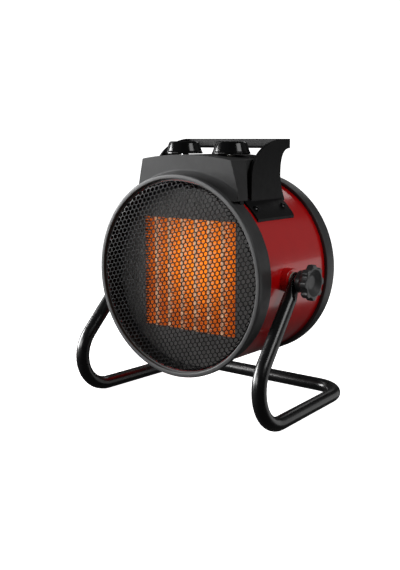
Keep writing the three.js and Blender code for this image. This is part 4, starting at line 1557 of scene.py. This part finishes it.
@dataclass
class ControlBox(SubAssembly):
    """The moulded box on top of the drum, with flared sides and a cove down to the front bezel."""

    flare: float = 11.2 * MM
    flare_drop: float = 42.3 * MM
    arch: float = 5 * MM
    front: float = 18 * MM
    lean: float = 2.9 * MM
    wall: float = 2.5 * MM
    wing_rear_low: float = 34 * MM
    wing_rear_high: float = 47 * MM
    skirt_inset: float = 3.5 * MM
    skirt_depth: float = 14 * MM
    skirt_front: float = 24 * MM
    skirt_rear: float = 31.5 * MM
    cove_foot: float = 2.4 * MM
    cove_top: float = 14.4 * MM
    cove_rear: float = 26 * MM
    bezel_depth: float = 5 * MM
    gap: float = 0.3 * MM
    edge: float = 0.9 * MM
    overlap: float = 1 * MM
    skirt_overlap: float = 2 * MM
    seat_edge: float = 1.2 * MM
    wing_overrun: float = 5 * MM
    neck_hole: float = 5.1 * MM
    neck_hole_below: float = 25 * MM
    neck_hole_above: float = 5 * MM
    gland_hole: float = 6.2 * MM
    arch_steps: int = 28
    cove_steps: int = 10

    def build(self) -> None:
        """Builds the box shell, rounds its edges and fits it."""
        drum = Drum(self.shop)
        axis = drum.axis
        box = Box.of("control_box")
        half = box.high.x - self.flare
        crest = box.high.z - axis.origin.z
        shoulder = crest - self.arch
        rear = box.high.y - axis.origin.y
        wing_bottom = shoulder - self.flare_drop
        bottom = wing_bottom - self.skirt_depth
        sleeve = drum.shell_radius + drum.seat_gap + drum.sleeve_wall
        body = slab("control_box_shell", axis, self.arched(half, shoulder, bottom), self.front, rear)
        body = shaped(body, self.wings(axis, half, shoulder, wing_bottom), Operation.JOIN)
        skirt_half = half + self.flare - self.skirt_inset
        skirt_top = wing_bottom + self.skirt_overlap
        skirt = slab("box_skirt", axis, [(-skirt_half, bottom), (skirt_half, bottom),
                     (skirt_half, skirt_top), (-skirt_half, skirt_top)], self.skirt_front, self.skirt_rear)
        body = shaped(body, skirt, Operation.JOIN)
        body = shaped(body, self.lean_cutter(axis, half, crest, wing_bottom, bottom), Operation.CUT)
        body = shaped(body, self.cove(axis, half, shoulder, wing_bottom, drum, sleeve), Operation.JOIN)
        body = shaped(body, self.seat(axis, drum, sleeve, rear), Operation.CUT)
        inside = self.arched(half - self.wall, shoulder - self.wall, 0)
        cavity = slab("box_cavity", axis, inside, self.front + self.lean + self.wall, rear - self.wall)
        body = shaped(body, cavity, Operation.CUT)
        body = self.drilled(body, axis, crest, rear)
        reach = sleeve + self.seat_edge

        def outside(middle: Vector) -> bool:
            """Whether an edge is on the box's outside, clear of the seat on the drum.

            Args:
                middle: The middle of an edge.

            Returns:
                Whether that edge gets rounded.
            """
            height = middle.z - axis.origin.z
            level = math.hypot(middle.x, height)
            within = abs(middle.x) < half - self.wall / 2 and height < shoulder - self.wall / 2
            behind_face = self.front + self.lean + self.overlap
            deep = behind_face < middle.y - axis.origin.y < rear - self.wall / 2
            return level > reach and not (within and deep)

        body = softened(tidied(body), self.edge, 3, 24, outside)
        self.fit(body, Body.DRUM.value, Slot.BOX_PLASTIC, "control_box")

    def arched(self, half: float, shoulder: float, bottom: float) -> list[Pair]:
        """The box's outline from the front: upright sides under a shallow arch.

        Args:
            half: Half the box's width.
            shoulder: The height of its shoulders over the drum's axis.
            bottom: The height where its sides end.

        Returns:
            Points of distance across and height over the axis.
        """
        outline = [(-half, bottom), (half, bottom)]
        for step in range(self.arch_steps + 1):
            x = half - 2 * half * step / self.arch_steps
            rise = self.arch * (1 - (x / half) ** 2)
            outline.append((x, shoulder + rise))
        return outline

    def wings(self, axis: Axis, half: float, shoulder: float, bottom: float) -> Piece:
        """The flared front part of the box, whose back edge slants.

        Args:
            axis: The drum's axis.
            half: Half the box's width.
            shoulder: The height of its shoulders over the drum's axis.
            bottom: The height where the wings end.

        Returns:
            The solid that is joined to the box.
        """
        wide = half + self.flare
        outline = [(-wide, bottom), (wide, bottom), (half, shoulder), (-half, shoulder)]
        wings = slab("box_wings", axis, outline, self.front, self.wing_rear_high + self.wing_overrun)
        side = Axis(axis.origin, Y, Z, X)
        far = self.wing_rear_high + 2 * self.wing_overrun
        under, over, reach = bottom - self.overlap, shoulder + self.overlap, wide + self.overlap
        back = [(self.wing_rear_low, under), (self.wing_rear_high, over), (far, over), (far, under)]
        return shaped(wings, slab("wing_back", side, back, -reach, reach), Operation.CUT)

    def lean_cutter(
        self, axis: Axis, half: float, crest: float, wing_bottom: float, bottom: float
    ) -> Piece:
        """What is cut off the front so that it leans back towards its foot.

        Args:
            axis: The drum's axis.
            half: Half the box's width.
            crest: The height of the box's top over the axis.
            wing_bottom: The height where the wings end.
            bottom: The height where the box ends.

        Returns:
            The solid that is cut away.
        """
        side = Axis(axis.origin, Y, Z, X)
        ahead, leant = self.front - self.overlap, self.front + self.lean
        over, under = crest + self.overlap, bottom - self.overlap
        outline = [(ahead, over), (ahead, under), (leant, under), (leant, wing_bottom), (self.front, over)]
        reach = half + self.flare + self.overlap
        return slab("front_lean", side, outline, -reach, reach)

    def cove(
        self, axis: Axis, half: float, shoulder: float, bottom: float, drum: Drum, sleeve: float
    ) -> Piece:
        """The curved foot that runs from the box's face down to the front bezel.

        Args:
            axis: The drum's axis.
            half: Half the box's width.
            shoulder: The height of its shoulders over the drum's axis.
            bottom: The height where the wings end.
            drum: The drum that the cove runs down to.
            sleeve: The radius of the front bezel's sleeve.

        Returns:
            The solid that is joined to the box.
        """
        start = self.bezel_depth + self.gap
        foot, top = sleeve + self.cove_foot, sleeve + self.cove_top
        knee = (foot + self.overlap, self.front + self.overlap)
        end = (top, self.front + self.lean)
        profile = [(drum.shell_radius + self.gap, start)]
        for step in range(self.cove_steps + 1):
            t = step / self.cove_steps
            weights = ((1 - t) ** 2, 2 * t * (1 - t), t * t)
            spots = ((foot, start), knee, end)
            profile.append(tuple(sum(w * p[k] for w, p in zip(weights, spots)) for k in (0, 1)))
        profile += [(top, self.cove_rear), (drum.shell_radius + self.gap, self.cove_rear)]
        ring = turned("box_cove", axis, profile, drum.sides)
        wide = half + self.flare
        outline = [(-wide, bottom), (wide, bottom), (half, shoulder), (-half, shoulder)]
        limit = slab("cove_limit", axis, outline, 0, self.cove_rear + self.overlap)
        return shaped(ring, limit, Operation.KEEP_COMMON)

    def seat(self, axis: Axis, drum: Drum, sleeve: float, rear: float) -> Piece:
        """The drum's own shape, cut away under the box.

        Args:
            axis: The drum's axis.
            drum: The drum under the box.
            sleeve: The radius of the front bezel's sleeve.
            rear: How far back the piece on the drum reaches.

        Returns:
            The solid that is cut away.
        """
        outer = sleeve + self.gap
        inner = drum.shell_radius + drum.seat_gap
        step = Box.of("front_bezel").size.y + self.gap
        start, end = -self.overlap, 2 * rear
        profile = [(0, start), (outer, start), (outer, step), (inner, step), (inner, end), (0, end)]
        return turned("drum_seat", axis, profile, drum.sides)

    def drilled(self, body: Piece, axis: Axis, crest: float, rear: float) -> Piece:
        """Cuts the holes for the controls' necks and the cable gland.

        Args:
            body: The box.
            axis: The drum's axis.
            crest: The height of the box's top over the axis.
            rear: How far back the box reaches.

        Returns:
            The same box, with its holes.
        """
        for node in ("thermostat_shaft", "switch_shaft"):
            centre = Box.of(node).centre
            upright = axis_z(Vector((centre.x, centre.y, axis.origin.z)))
            low, high, radius = crest - self.neck_hole_below, crest + self.neck_hole_above, self.neck_hole
            hole = turned("neck_hole", upright, band(0, radius, low, high), SMALL_SIDES)
            body = shaped(body, hole, Operation.CUT)
        gland = Box.of("cable_gland").centre
        start, end = rear - 2 * self.wall, rear + self.overlap
        through = axis_y(Vector((gland.x, axis.origin.y, gland.z)))
        hole = turned("gland_hole", through, band(0, self.gland_hole, start, end), SMALL_SIDES)
        return shaped(body, hole, Operation.CUT)


@dataclass
class Controls(SubAssembly):
    """The two dials with their shafts and bodies, the terminal block, the leads and the gland."""

    flange: float = 3.2 * MM
    body_radius: float = 20.1 * MM
    top_radius: float = 16.8 * MM
    facets: int = 12
    facet_depth: float = 0.01
    shaft_clearance: float = 0.3 * MM
    bore_depth: float = 8.5 * MM
    top_edge: float = 3.4 * MM
    dial_dish: float = 0.5 * MM
    dial_sides: int = 144
    shaft_foot_edge: float = 0.4 * MM
    shaft_top_edge: float = 0.6 * MM
    body_edge: float = 0.6 * MM
    block_edge: float = 0.8 * MM
    lead_edge: float = 0.1 * MM
    gland_bore: float = 3.9 * MM
    gland_neck: float = 5.9 * MM
    gland_gap: float = 0.3 * MM
    gland_flange: float = 3 * MM
    gland_ribs: int = 4
    gland_rib: float = 1.3 * MM
    gland_taper: float = 0.25 * MM
    gland_groove: float = 0.9 * MM

    def build(self) -> None:
        """Builds the dials, shafts and gland, and dresses what is inside the box."""
        for word, body in (("thermostat", Body.THERMOSTAT), ("switch", Body.SWITCH)):
            self.build_dial(word, body)
            self.build_shaft(word, body)
            self.keep(f"{word}_body", Slot.PALE_PLASTIC, self.body_edge)
        self.build_gland()
        self.keep("terminal_block", Slot.PALE_PLASTIC, self.block_edge)
        self.keep("motor_lead", Slot.LEAD_INSULATION, self.lead_edge)
        self.keep("element_lead", Slot.LEAD_INSULATION, self.lead_edge)

    def faceted(self, radius: float, angle: float) -> float:
        """The dial's radius round its grip, which has shallow flats; its flange stays round.

        Args:
            radius: The radius on the dial's outline.
            angle: The angle round the axis.

        Returns:
            The radius at that angle.
        """
        if radius > self.body_radius + 0.2 * MM or radius < self.top_radius * 0.7:
            return radius
        sector = FULL_TURN / self.facets
        offset = (angle % sector) - sector / 2
        flat = math.cos(sector / 2) / math.cos(offset)
        share = min(1.0, self.facet_depth / (1 - math.cos(sector / 2)))
        return radius * (1 - share + share * flat)

    def build_dial(self, word: str, body: Body) -> None:
        """One dial: a flange, a tapered grip with shallow flats and a gently dished top.

        Args:
            word: Which control it turns.
            body: The body it rides on.
        """
        box = Box.of(f"{word}_dial")
        axis = axis_up(box)
        radius, height = box.size.x / 2, box.size.z
        shaft = Box.of(f"{word}_shaft").size.x / 2 + self.shaft_clearance
        profile = rounded([
            (0, self.bore_depth, 0), (shaft, self.bore_depth, 0.1 * MM), (shaft, 0, 0.2 * MM),
            (radius, 0, 0.4 * MM), (radius, self.flange * 0.45, 0.6 * MM),
            (self.body_radius, self.flange, 1.2 * MM), (self.top_radius, height, self.top_edge),
            (self.top_radius * 0.6, height, 1.5 * MM), (0, height - self.dial_dish, 0),
        ], 6, False)
        dial = turned(f"{word}_dial_grip", axis, profile, self.dial_sides, self.faceted)
        self.fit(smooth(dial, 60), body.value, Slot.DIAL_PLASTIC, f"{word}_dial")

    def build_shaft(self, word: str, body: Body) -> None:
        """One control's shaft.

        Args:
            word: Which control it belongs to.
            body: The body it rides on.
        """
        box = Box.of(f"{word}_shaft")
        axis = axis_up(box)
        radius, height = box.size.x / 2, box.size.z
        profile = rounded([(0, 0, 0), (radius, 0, self.shaft_foot_edge),
                           (radius, height, self.shaft_top_edge), (0, height, 0)], 2, False)
        shaft = turned(f"{word}_spindle", axis, profile, SMALL_SIDES)
        self.fit(smooth(shaft), body.value, Slot.ZINC_STEEL, f"{word}_shaft")

    def build_gland(self) -> None:
        """The cable gland, with ribs round its nose and an open bore."""
        box = Box.of("cable_gland")
        axis = axis_back(box)
        radius, length = box.size.x / 2, box.size.y
        rear = Box.of("control_box").high.y - box.low.y
        bore, neck = self.gland_bore, self.gland_neck
        face = rear + self.gland_gap
        corners = [(bore, 0, 0.3 * MM), (neck, 0, 0.3 * MM), (neck, face, 0), (radius, face, 0.3 * MM),
                   (radius, face + self.gland_flange, 0.8 * MM)]
        start = face + self.gland_flange + 0.2 * MM
        pitch = (length - start) / self.gland_ribs
        for rib in range(self.gland_ribs):
            taper = neck + self.gland_rib - rib * self.gland_taper
            corners.append((taper - self.gland_groove, start + rib * pitch, 0.2 * MM))
            corners.append((taper, start + (rib + 0.35) * pitch, 0.3 * MM))
            corners.append((taper, start + (rib + 0.8) * pitch, 0.3 * MM))
        corners += [(taper - 0.4 * MM, length, 0.4 * MM), (bore, length, 0.4 * MM)]
        gland = turned("ribbed_cable_gland", axis, rounded(corners, 3), 64)
        self.fit(smooth(gland, 40), Body.DRUM.value, Slot.BOX_PLASTIC, "cable_gland")


@dataclass
class CarryHandle(SubAssembly):
    """The handle: two cheeks, the grip between them, and feet screwed to the drum."""

    cheek_front: float = 46.4 * MM
    cheek_rear: float = 111.4 * MM
    waist: float = 102.6 * MM
    grip_depth: float = 17.2 * MM
    grip_height: float = 10.5 * MM
    grip_corner: float = 3 * MM
    cheek: float = 3.5 * MM
    foot_width: float = 16.5 * MM
    foot_sheet: float = 2.2 * MM
    foot_front: float = 34.6 * MM
    foot_rear: float = 106 * MM
    edge: float = 0.6 * MM
    grip_front_edge: float = 0.8 * MM
    overlap: float = 1 * MM
    tail_drop: float = 22.6 * MM
    tail_bend: float = 12 * MM
    tail_turn: float = 3 * MM
    waist_rise: float = 5.4 * MM
    hollow_rise: float = 23.4 * MM
    hollow_run: float = 13.5 * MM
    brow_run: float = 25.6 * MM
    brow_drop: float = 3 * MM
    forehead_drop: float = 17 * MM
    screw_shank: float = 2 * MM
    screw_head: float = 3.6 * MM
    screw_height: float = 2 * MM
    screw_length: float = 8 * MM
    recess_arm: float = 1.9 * MM
    recess_width: float = 0.42 * MM
    recess_floor: float = 0.5 * MM

    def build(self) -> None:
        """Builds the handle and its four screws."""
        drum = Drum(self.shop)
        axis = drum.axis
        box = Box.of("handle")
        outer = box.high.x - self.foot_width
        inner = outer - self.cheek
        shell = drum.shell_radius
        top = box.high.z - axis.origin.z
        grip_rear = box.high.y - axis.origin.y
        side = Axis(axis.origin, Y, Z, X)
        outline = self.cheek_outline(shell, top, grip_rear)
        handle = slab("carry_handle", side, outline, inner, outer)
        handle = shaped(handle, slab("left_cheek", side, outline, -outer, -inner), Operation.JOIN)
        bottom = top - self.grip_height
        front = grip_rear - self.grip_depth
        corner = self.grip_corner
        grip = rounded([(front, bottom, corner), (grip_rear, bottom, 0), (grip_rear, top, 0),
                        (front, top, self.grip_front_edge)], 6)
        reach = inner + self.overlap
        handle = shaped(handle, slab("grip", side, grip, -reach, reach), Operation.JOIN)
        seat = shell + drum.seat_gap
        for sign in (1, -1):
            over = seat + self.foot_sheet
            saddle = turned("foot", axis, band(shell, over, self.foot_front, self.foot_rear), drum.sides)
            limits = sorted((sign * inner, sign * (outer + self.foot_width)))
            low = (limits[0], axis.origin.y, axis.origin.z)
            high = (limits[1], axis.origin.y + grip_rear, axis.origin.z + 2 * shell)
            foot = shaped(saddle, block("foot_limit", low, high), Operation.KEEP_COMMON)
            handle = shaped(handle, foot, Operation.JOIN)
        sleeve = seat + drum.sleeve_wall
        handle = shaped(handle, ControlBox(self.shop).seat(axis, drum, sleeve, self.foot_rear), Operation.CUT)
        handle = kept_inside(softened(tidied(handle), self.edge, 3, 24), box)
        self.fit(handle, Body.DRUM.value, Slot.HANDLE_PLASTIC, "handle")
        for place in ("right_front", "right_rear", "left_front", "left_rear"):
            self.build_screw(place, axis)

    def cheek_outline(self, shell: float, top: float, grip_rear: float) -> list[Pair]:
        """The side outline of a cheek, from its foot on the drum up to the grip.

        Args:
            shell: The shell's radius.
            top: The height of the grip's top over the drum's axis.
            grip_rear: How far back the grip reaches.

        Returns:
            Points of distance along the drum and height over its axis.
        """
        bottom = top - self.grip_height
        front = grip_rear - self.grip_depth
        waist = (self.waist, shell + self.waist_rise)
        knee = (self.cheek_front, shell)
        outline = [(self.cheek_front, shell / 2), (self.cheek_rear, shell / 2),
                   (self.cheek_rear, shell - self.tail_drop)]
        outline += bezier(outline[-1], (self.waist + self.tail_turn, shell - self.tail_bend),
                          (self.waist, shell - self.tail_turn), waist, 10)
        outline += bezier(waist, (self.waist, shell + self.hollow_rise),
                          (grip_rear - self.hollow_run, bottom), (grip_rear, bottom), 18)
        outline += [(grip_rear, top), (front, top)]
        outline += bezier(outline[-1], (self.cheek_front + self.brow_run, top - self.brow_drop),
                          (self.cheek_front, top - self.forehead_drop), knee, 24)
        return outline

    def build_screw(self, place: str, axis: Axis) -> None:
        """One screw, with a domed head and a cross recess.

        Args:
            place: Which corner of the handle it holds.
            axis: The drum's axis.
        """
        node = f"handle_screw_{place}"
        centre = Box.of(node).centre
        lean = Vector((centre.x, 0, centre.z - axis.origin.z)).normalized()
        drum = Drum(self.shop)
        seat = drum.shell_radius + 2 * drum.seat_gap + self.foot_sheet
        own = Axis(Vector((0, centre.y, axis.origin.z)), Y, Y.cross(lean), lean)
        shank, head, height = self.screw_shank, self.screw_head, self.screw_height
        point = seat - self.screw_length
        profile = rounded([(0, point, 0), (shank * 0.5, point, 0.2 * MM), (shank, point + shank, 0.4 * MM),
                           (shank, seat, 0), (head, seat, 0.15 * MM),
                           (head * 0.97, seat + 0.45 * height, 0.5 * MM),
                           (head * 0.55, seat + height * 0.94, 1 * MM), (0, seat + height, 0)], 5, False)
        screw = turned(f"pan_head_{place}", own, profile, 40)
        arm, width = self.recess_arm, self.recess_width
        for long_side, short_side in ((arm, width), (width, arm)):
            shape = [(-long_side, -short_side), (long_side, -short_side), (long_side, short_side),
                     (-long_side, short_side)]
            recess = slab("recess", own, shape, seat + self.recess_floor, seat + height + self.overlap)
            screw = shaped(screw, recess, Operation.CUT)
        self.fit(smooth(screw, 35), Body.DRUM.value, Slot.SCREW_BLACK, node)


@dataclass
class PivotClamp(SubAssembly):
    """One side's pivot: the boss and washers, the stud and its nut, and the star knob."""

    side: Side = Side.RIGHT
    hub: float = 9.7 * MM
    hub_radius: float = 12 * MM
    lobes: int = 8
    lobe_height: float = 1.35 * MM
    dish_radius: float = 14.4 * MM
    dish_floor_radius: float = 7 * MM
    dish_depth: float = 4.4 * MM
    cap: float = 3 * MM
    boss_radius: float = 13 * MM
    boss_edge: float = 1 * MM
    bore_edge: float = 0.3 * MM
    stud_hole: float = 3.6 * MM
    washer_edge: float = 0.25 * MM
    nut_bore: float = 3.15 * MM
    nut_flats: int = 6
    nut_chamfer: float = 0.7 * MM
    thread_pitch: float = 1 * MM
    thread_depth: float = 0.4 * MM
    thread_relief: float = 0.5 * MM
    knob_bore: float = 3.1 * MM
    waist_depth: float = 0.8 * MM
    star_step: float = 1.2 * MM
    lobe_squareness: float = 2.2

    def axis(self) -> Axis:
        """The clamp's axis, running out from the middle of the heater."""
        stud = Box.of(f"clamp_stud_{self.side.word}").centre
        return axis_x(Vector((0, stud.y, stud.z)), self.side)

    def limits(self, node: str) -> Pair:
        """The nearest and farthest that a node reaches from the middle of the heater."""
        box = Box.of(node)
        return tuple(sorted((abs(box.low.x), abs(box.high.x))))

    def build(self) -> None:
        """Builds every piece on this side's pivot."""
        word = self.side.word
        self.build_washer(f"friction_washer_{word}", "fibre_washer", Body.DRUM.value, Slot.PALE_PLASTIC)
        self.build_washer(f"clamp_washer_{word}", "steel_washer", f"{word}_clamp_slider", Slot.ZINC_STEEL)
        self.build_boss()
        self.build_nut()
        self.build_stud()
        self.build_knob()

    def build_washer(self, node: str, name: str, body: str, slot: Slot) -> None:
        """A flat washer with rounded edges.

        Args:
            node: The CAD node that it stands for.
            name: The washer's name, without its side.
            body: The body it rides on.
            slot: The finish it takes.
        """
        near, far = self.limits(node)
        radius = Box.of(node).size.z / 2
        edge = self.washer_edge
        profile = rounded([(*place, edge) for place in band(self.stud_hole, radius, near, far)], 3)
        self.fit(smooth(turned(f"{name}_{self.side.word}", self.axis(), profile, 64)), body, slot, node)

    def build_boss(self) -> None:
        """The spacer between the drum and the stand's eye, shaped to the drum."""
        node = f"pivot_boss_{self.side.word}"
        near, far = self.limits(node)
        profile = rounded([(self.stud_hole, near, 0), (self.boss_radius, near, 0),
                           (self.boss_radius, far, self.boss_edge), (self.stud_hole, far, self.bore_edge)], 5)
        boss = turned(f"spacer_boss_{self.side.word}", self.axis(), profile, 96)
        drum = Drum(self.shop)
        reach = 2 * self.boss_radius
        seat_axis = axis_y(Vector((0, self.axis().origin.y, drum.axis.origin.z)))
        radius = drum.shell_radius + drum.seat_gap
        seat = turned("boss_seat", seat_axis, band(0, radius, -reach, reach), drum.sides)
        boss = shaped(boss, seat, Operation.CUT)
        self.fit(smooth(boss), Body.DRUM.value, Slot.SHELL_RED, node)

    def build_nut(self) -> None:
        """The hexagonal nut inside the shell."""
        node = f"pivot_nut_{self.side.word}"
        near, far = self.limits(node)
        radius = Box.of(node).size.z / 2
        bore, flats = self.nut_bore, self.nut_flats

        def hexagonal(given: float, angle: float) -> float:
            """The nut's radius at an angle; its bore stays round.

            Args:
                given: The radius on the nut's outline.
                angle: The angle round the axis.

            Returns:
                The radius at that angle.
            """
            if given < bore + 1 * MM:
                return given
            offset = (angle % (FULL_TURN / flats)) - math.pi / flats
            return min(given, radius * math.cos(math.pi / flats) / math.cos(offset))

        cut = radius * 0.9
        low, high = near + self.nut_chamfer, far - self.nut_chamfer
        profile = [(bore, near), (cut, near), (radius, low), (radius, high), (cut, far), (bore, far)]
        nut = turned(f"hexagon_nut_{self.side.word}", self.axis(), profile, 96, hexagonal)
        self.fit(smooth(nut, 25), Body.DRUM.value, Slot.ZINC_STEEL, node)

    def build_stud(self) -> None:
        """The threaded stud, as a row of round threads."""
        node = f"clamp_stud_{self.side.word}"
        near, far = self.limits(node)
        radius = Box.of(node).size.z / 2
        pitch = self.thread_pitch
        threads = int((far - near) / pitch)
        profile = [(0, near), (radius - self.thread_relief, near)]
        for thread in range(threads):
            start = near + thread * pitch
            profile += [(radius, start + 0.4 * pitch), (radius, start + 0.6 * pitch),
                        (radius - self.thread_depth, start + pitch)]
        profile += [(radius - self.thread_relief, far), (0, far)]
        stud = turned(f"threaded_stud_{self.side.word}", self.axis(), profile, 40)
        self.fit(smooth(stud, 50), f"{self.side.word}_clamp_screw", Slot.ZINC_STEEL, node)

    def lobed(self, radius: float, angle: float) -> float:
        """The knob's radius at an angle: broad lobes with hollows between them.

        Args:
            radius: The radius on the knob's outline.
            angle: The angle round the axis.

        Returns:
            The radius at that angle.
        """
        if radius < self.dish_radius + 0.3 * MM:
            return radius
        wave = math.cos(self.lobes * angle)
        square = math.tanh(self.lobe_squareness * wave) / math.tanh(self.lobe_squareness)
        return radius - self.lobe_height + self.lobe_height * square

    def build_knob(self) -> None:
        """The star knob, with a waisted hub and a deep round dish in its face."""
        node = f"clamp_knob_{self.side.word}"
        near, far = self.limits(node)
        radius = Box.of(node).size.z / 2
        star = near + self.hub
        floor = far - self.dish_depth
        bore = self.knob_bore
        inside = floor - self.cap / 2
        waist = self.hub_radius - self.waist_depth
        profile = rounded([
            (0, inside, 0), (bore, inside, 0.1 * MM), (bore, near, self.bore_edge),
            (self.hub_radius, near, 0.6 * MM),
            (waist, near + self.hub / 2, 4 * MM), (self.hub_radius, star - 0.3 * MM, 0.6 * MM),
            (radius - 0.6 * MM, star, 0.7 * MM), (radius, star + self.star_step, 0.8 * MM),
            (radius, far, 0.9 * MM),
            (self.dish_radius, far, 0.5 * MM), (self.dish_floor_radius, floor, 5 * MM), (0, floor, 0),
        ], 5, False)
        knob = turned(f"star_knob_{self.side.word}", self.axis(), profile, 192, self.lobed)
        self.fit(smooth(knob, 50), f"{self.side.word}_clamp_screw", Slot.KNOB_PLASTIC, node)


# ---- Studio


@dataclass(frozen=True)
class Softbox:
    """An area light aimed at the heater's middle. Azimuth 0 is in front of it and 90 to its right."""

    name: str
    azimuth: float
    elevation: float
    distance: float
    width: float
    height: float
    power: float

    def build(self, target: Vector) -> None:
        """Makes the light.

        Args:
            target: What it is aimed at.
        """
        light = bpy.data.lights.new(self.name, "AREA")
        light.shape = "RECTANGLE"
        light.size = self.width
        light.size_y = self.height
        light.energy = self.power
        lamp = bpy.data.objects.new(self.name, light)
        bpy.context.scene.collection.objects.link(lamp)
        azimuth, elevation = math.radians(self.azimuth), math.radians(self.elevation)
        level = math.cos(elevation)
        toward = Vector((math.sin(azimuth) * level, -math.cos(azimuth) * level, math.sin(elevation)))
        lamp.location = target + toward * self.distance
        lamp.rotation_euler = (-toward).to_track_quat("-Z", "Y").to_euler()
        lamp.visible_camera = False


@dataclass
class Studio:
    """A pale floor that curves up all round, soft lights and the camera."""

    floor_radius: float = 3.2
    wall_height: float = 3.0
    curve: float = 1.2
    floor_glow: float = 1.35
    floor_sides: int = 96
    paper_low: float = 0.86
    paper_high: float = 0.9
    paper_roughness: float = 0.9
    cloud_size: float = 0.4
    air_glow: float = 0.035
    near_clip: float = 0.01
    camera_place: Colour = (0.58261, -0.77598, 0.30007)
    camera_azimuth: float = 38.011
    camera_pitch: float = 9.757
    lens: float = 53.76

    def build(self) -> None:
        """Makes the floor, the lights, the surroundings and the camera."""
        bpy.context.scene.view_settings.view_transform = "Standard"
        self.build_floor()
        self.build_world()
        self.build_camera()
        low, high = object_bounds()
        target = (low + high) / 2
        for softbox in self.softboxes():
            softbox.build(target)

    def softboxes(self) -> list[Softbox]:
        """The lights round the heater."""
        return [
            Softbox("left_key", -62, 12, 1.3, 0.7, 0.7, 30),
            Softbox("front_soft", -22, 14, 1.5, 1.0, 0.4, 8),
            Softbox("right_fill", 92, 36, 1.6, 0.9, 0.5, 6.5),
            Softbox("back_right_haze", 141, 20, 1.5, 0.9, 0.9, 0.28),
            Softbox("back_right_low", 138, -12, 0.75, 0.8, 0.4, 0.62),
            Softbox("back_high", 194, 30, 1.5, 0.6, 0.3, 0.6),
            Softbox("left_strip", -95, 30, 1.4, 0.12, 1.0, 1.2),
        ]

    def build_floor(self) -> None:
        """The floor, a wide bowl with a flat middle."""
        profile = rounded([(0, 0, 0), (self.floor_radius, 0, self.curve),
                           (self.floor_radius, self.wall_height, 0)], 16, False)
        mesh_code = bmesh.new()
        axis = axis_z(Vector((0, 0, 0)))
        rings = []
        sides = self.floor_sides
        for radius, height in profile:
            if radius < ON_AXIS:
                rings.append([mesh_code.verts.new(axis.point(0, 0, height))])
                continue
            angles = [i * FULL_TURN / sides for i in range(sides)]
            rings.append([mesh_code.verts.new(axis.round_point(radius, a, height)) for a in angles])
        skin(mesh_code, rings, closed=False)
        floor = smooth(link("studio_floor", mesh_code))
        board = ShaderBoard("studio_paper")
        paper = board.mixed(board.noise(self.cloud_size), (self.paper_low,) * 3, (self.paper_high,) * 3)
        board.tree.links.new(paper, board.shader.inputs["Base Color"])
        board.tree.links.new(paper, board.shader.inputs["Emission Color"])
        board.shader.inputs["Emission Strength"].default_value = self.floor_glow
        board.shader.inputs["Roughness"].default_value = self.paper_roughness
        floor.data.materials.append(board.material)
        floor.visible_glossy = False
        floor.visible_diffuse = False
        floor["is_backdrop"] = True

    def build_world(self) -> None:
        """Dim even surroundings, which the gloss reflects between the lights."""
        world = bpy.data.worlds.new("studio_air")
        world.use_nodes = True
        background = world.node_tree.nodes["Background"]
        background.inputs["Color"].default_value = (1, 1, 1, 1)
        background.inputs["Strength"].default_value = self.air_glow
        bpy.context.scene.world = world

    def build_camera(self) -> None:
        """The camera, a little above the heater and to its right."""
        data = bpy.data.cameras.new("studio_camera")
        data.lens = self.lens
        data.clip_start = self.near_clip
        camera = bpy.data.objects.new("studio_camera", data)
        bpy.context.scene.collection.objects.link(camera)
        camera.location = self.camera_place
        pitch = math.pi / 2 - math.radians(self.camera_pitch)
        camera.rotation_euler = (pitch, 0, math.radians(self.camera_azimuth))
        bpy.context.scene.camera = camera


# ---- The whole heater


def element_heart() -> Colour:
    """The centre of the painted glow on the element, a little up and to the right of its middle.

    Returns:
        The spot's three coordinates.
    """
    low = Box.of("fin_bank_1").low
    high = Box.of("fin_bank_7").high
    middle = (low + high) / 2
    return (middle.x + 10 * MM, low.y, middle.z + 18 * MM)


def main() -> None:
    """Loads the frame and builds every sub-assembly in order."""
    logging.basicConfig(level=logging.INFO, format="%(name)s %(message)s")
    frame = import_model()
    CAD_NODES.update(frame["nodes"])
    shell = Box.of("drum_shell")
    shop = FinishShop(element_heart(), shell.centre.z, shell.high.x - 0.15 * MM)
    sub_assemblies: list[SubAssembly] = [
        TubeStand(shop),
        Drum(shop),
        MeshGuards(shop),
        HeatingElement(shop),
        MotorAndFan(shop),
        ControlBox(shop),
        Controls(shop),
        CarryHandle(shop),
        PivotClamp(shop, side=Side.RIGHT),
        PivotClamp(shop, side=Side.LEFT),
    ]
    for sub_assembly in sub_assemblies:
        sub_assembly.build()
    Studio().build()


if __name__ == "__main__":
    main()
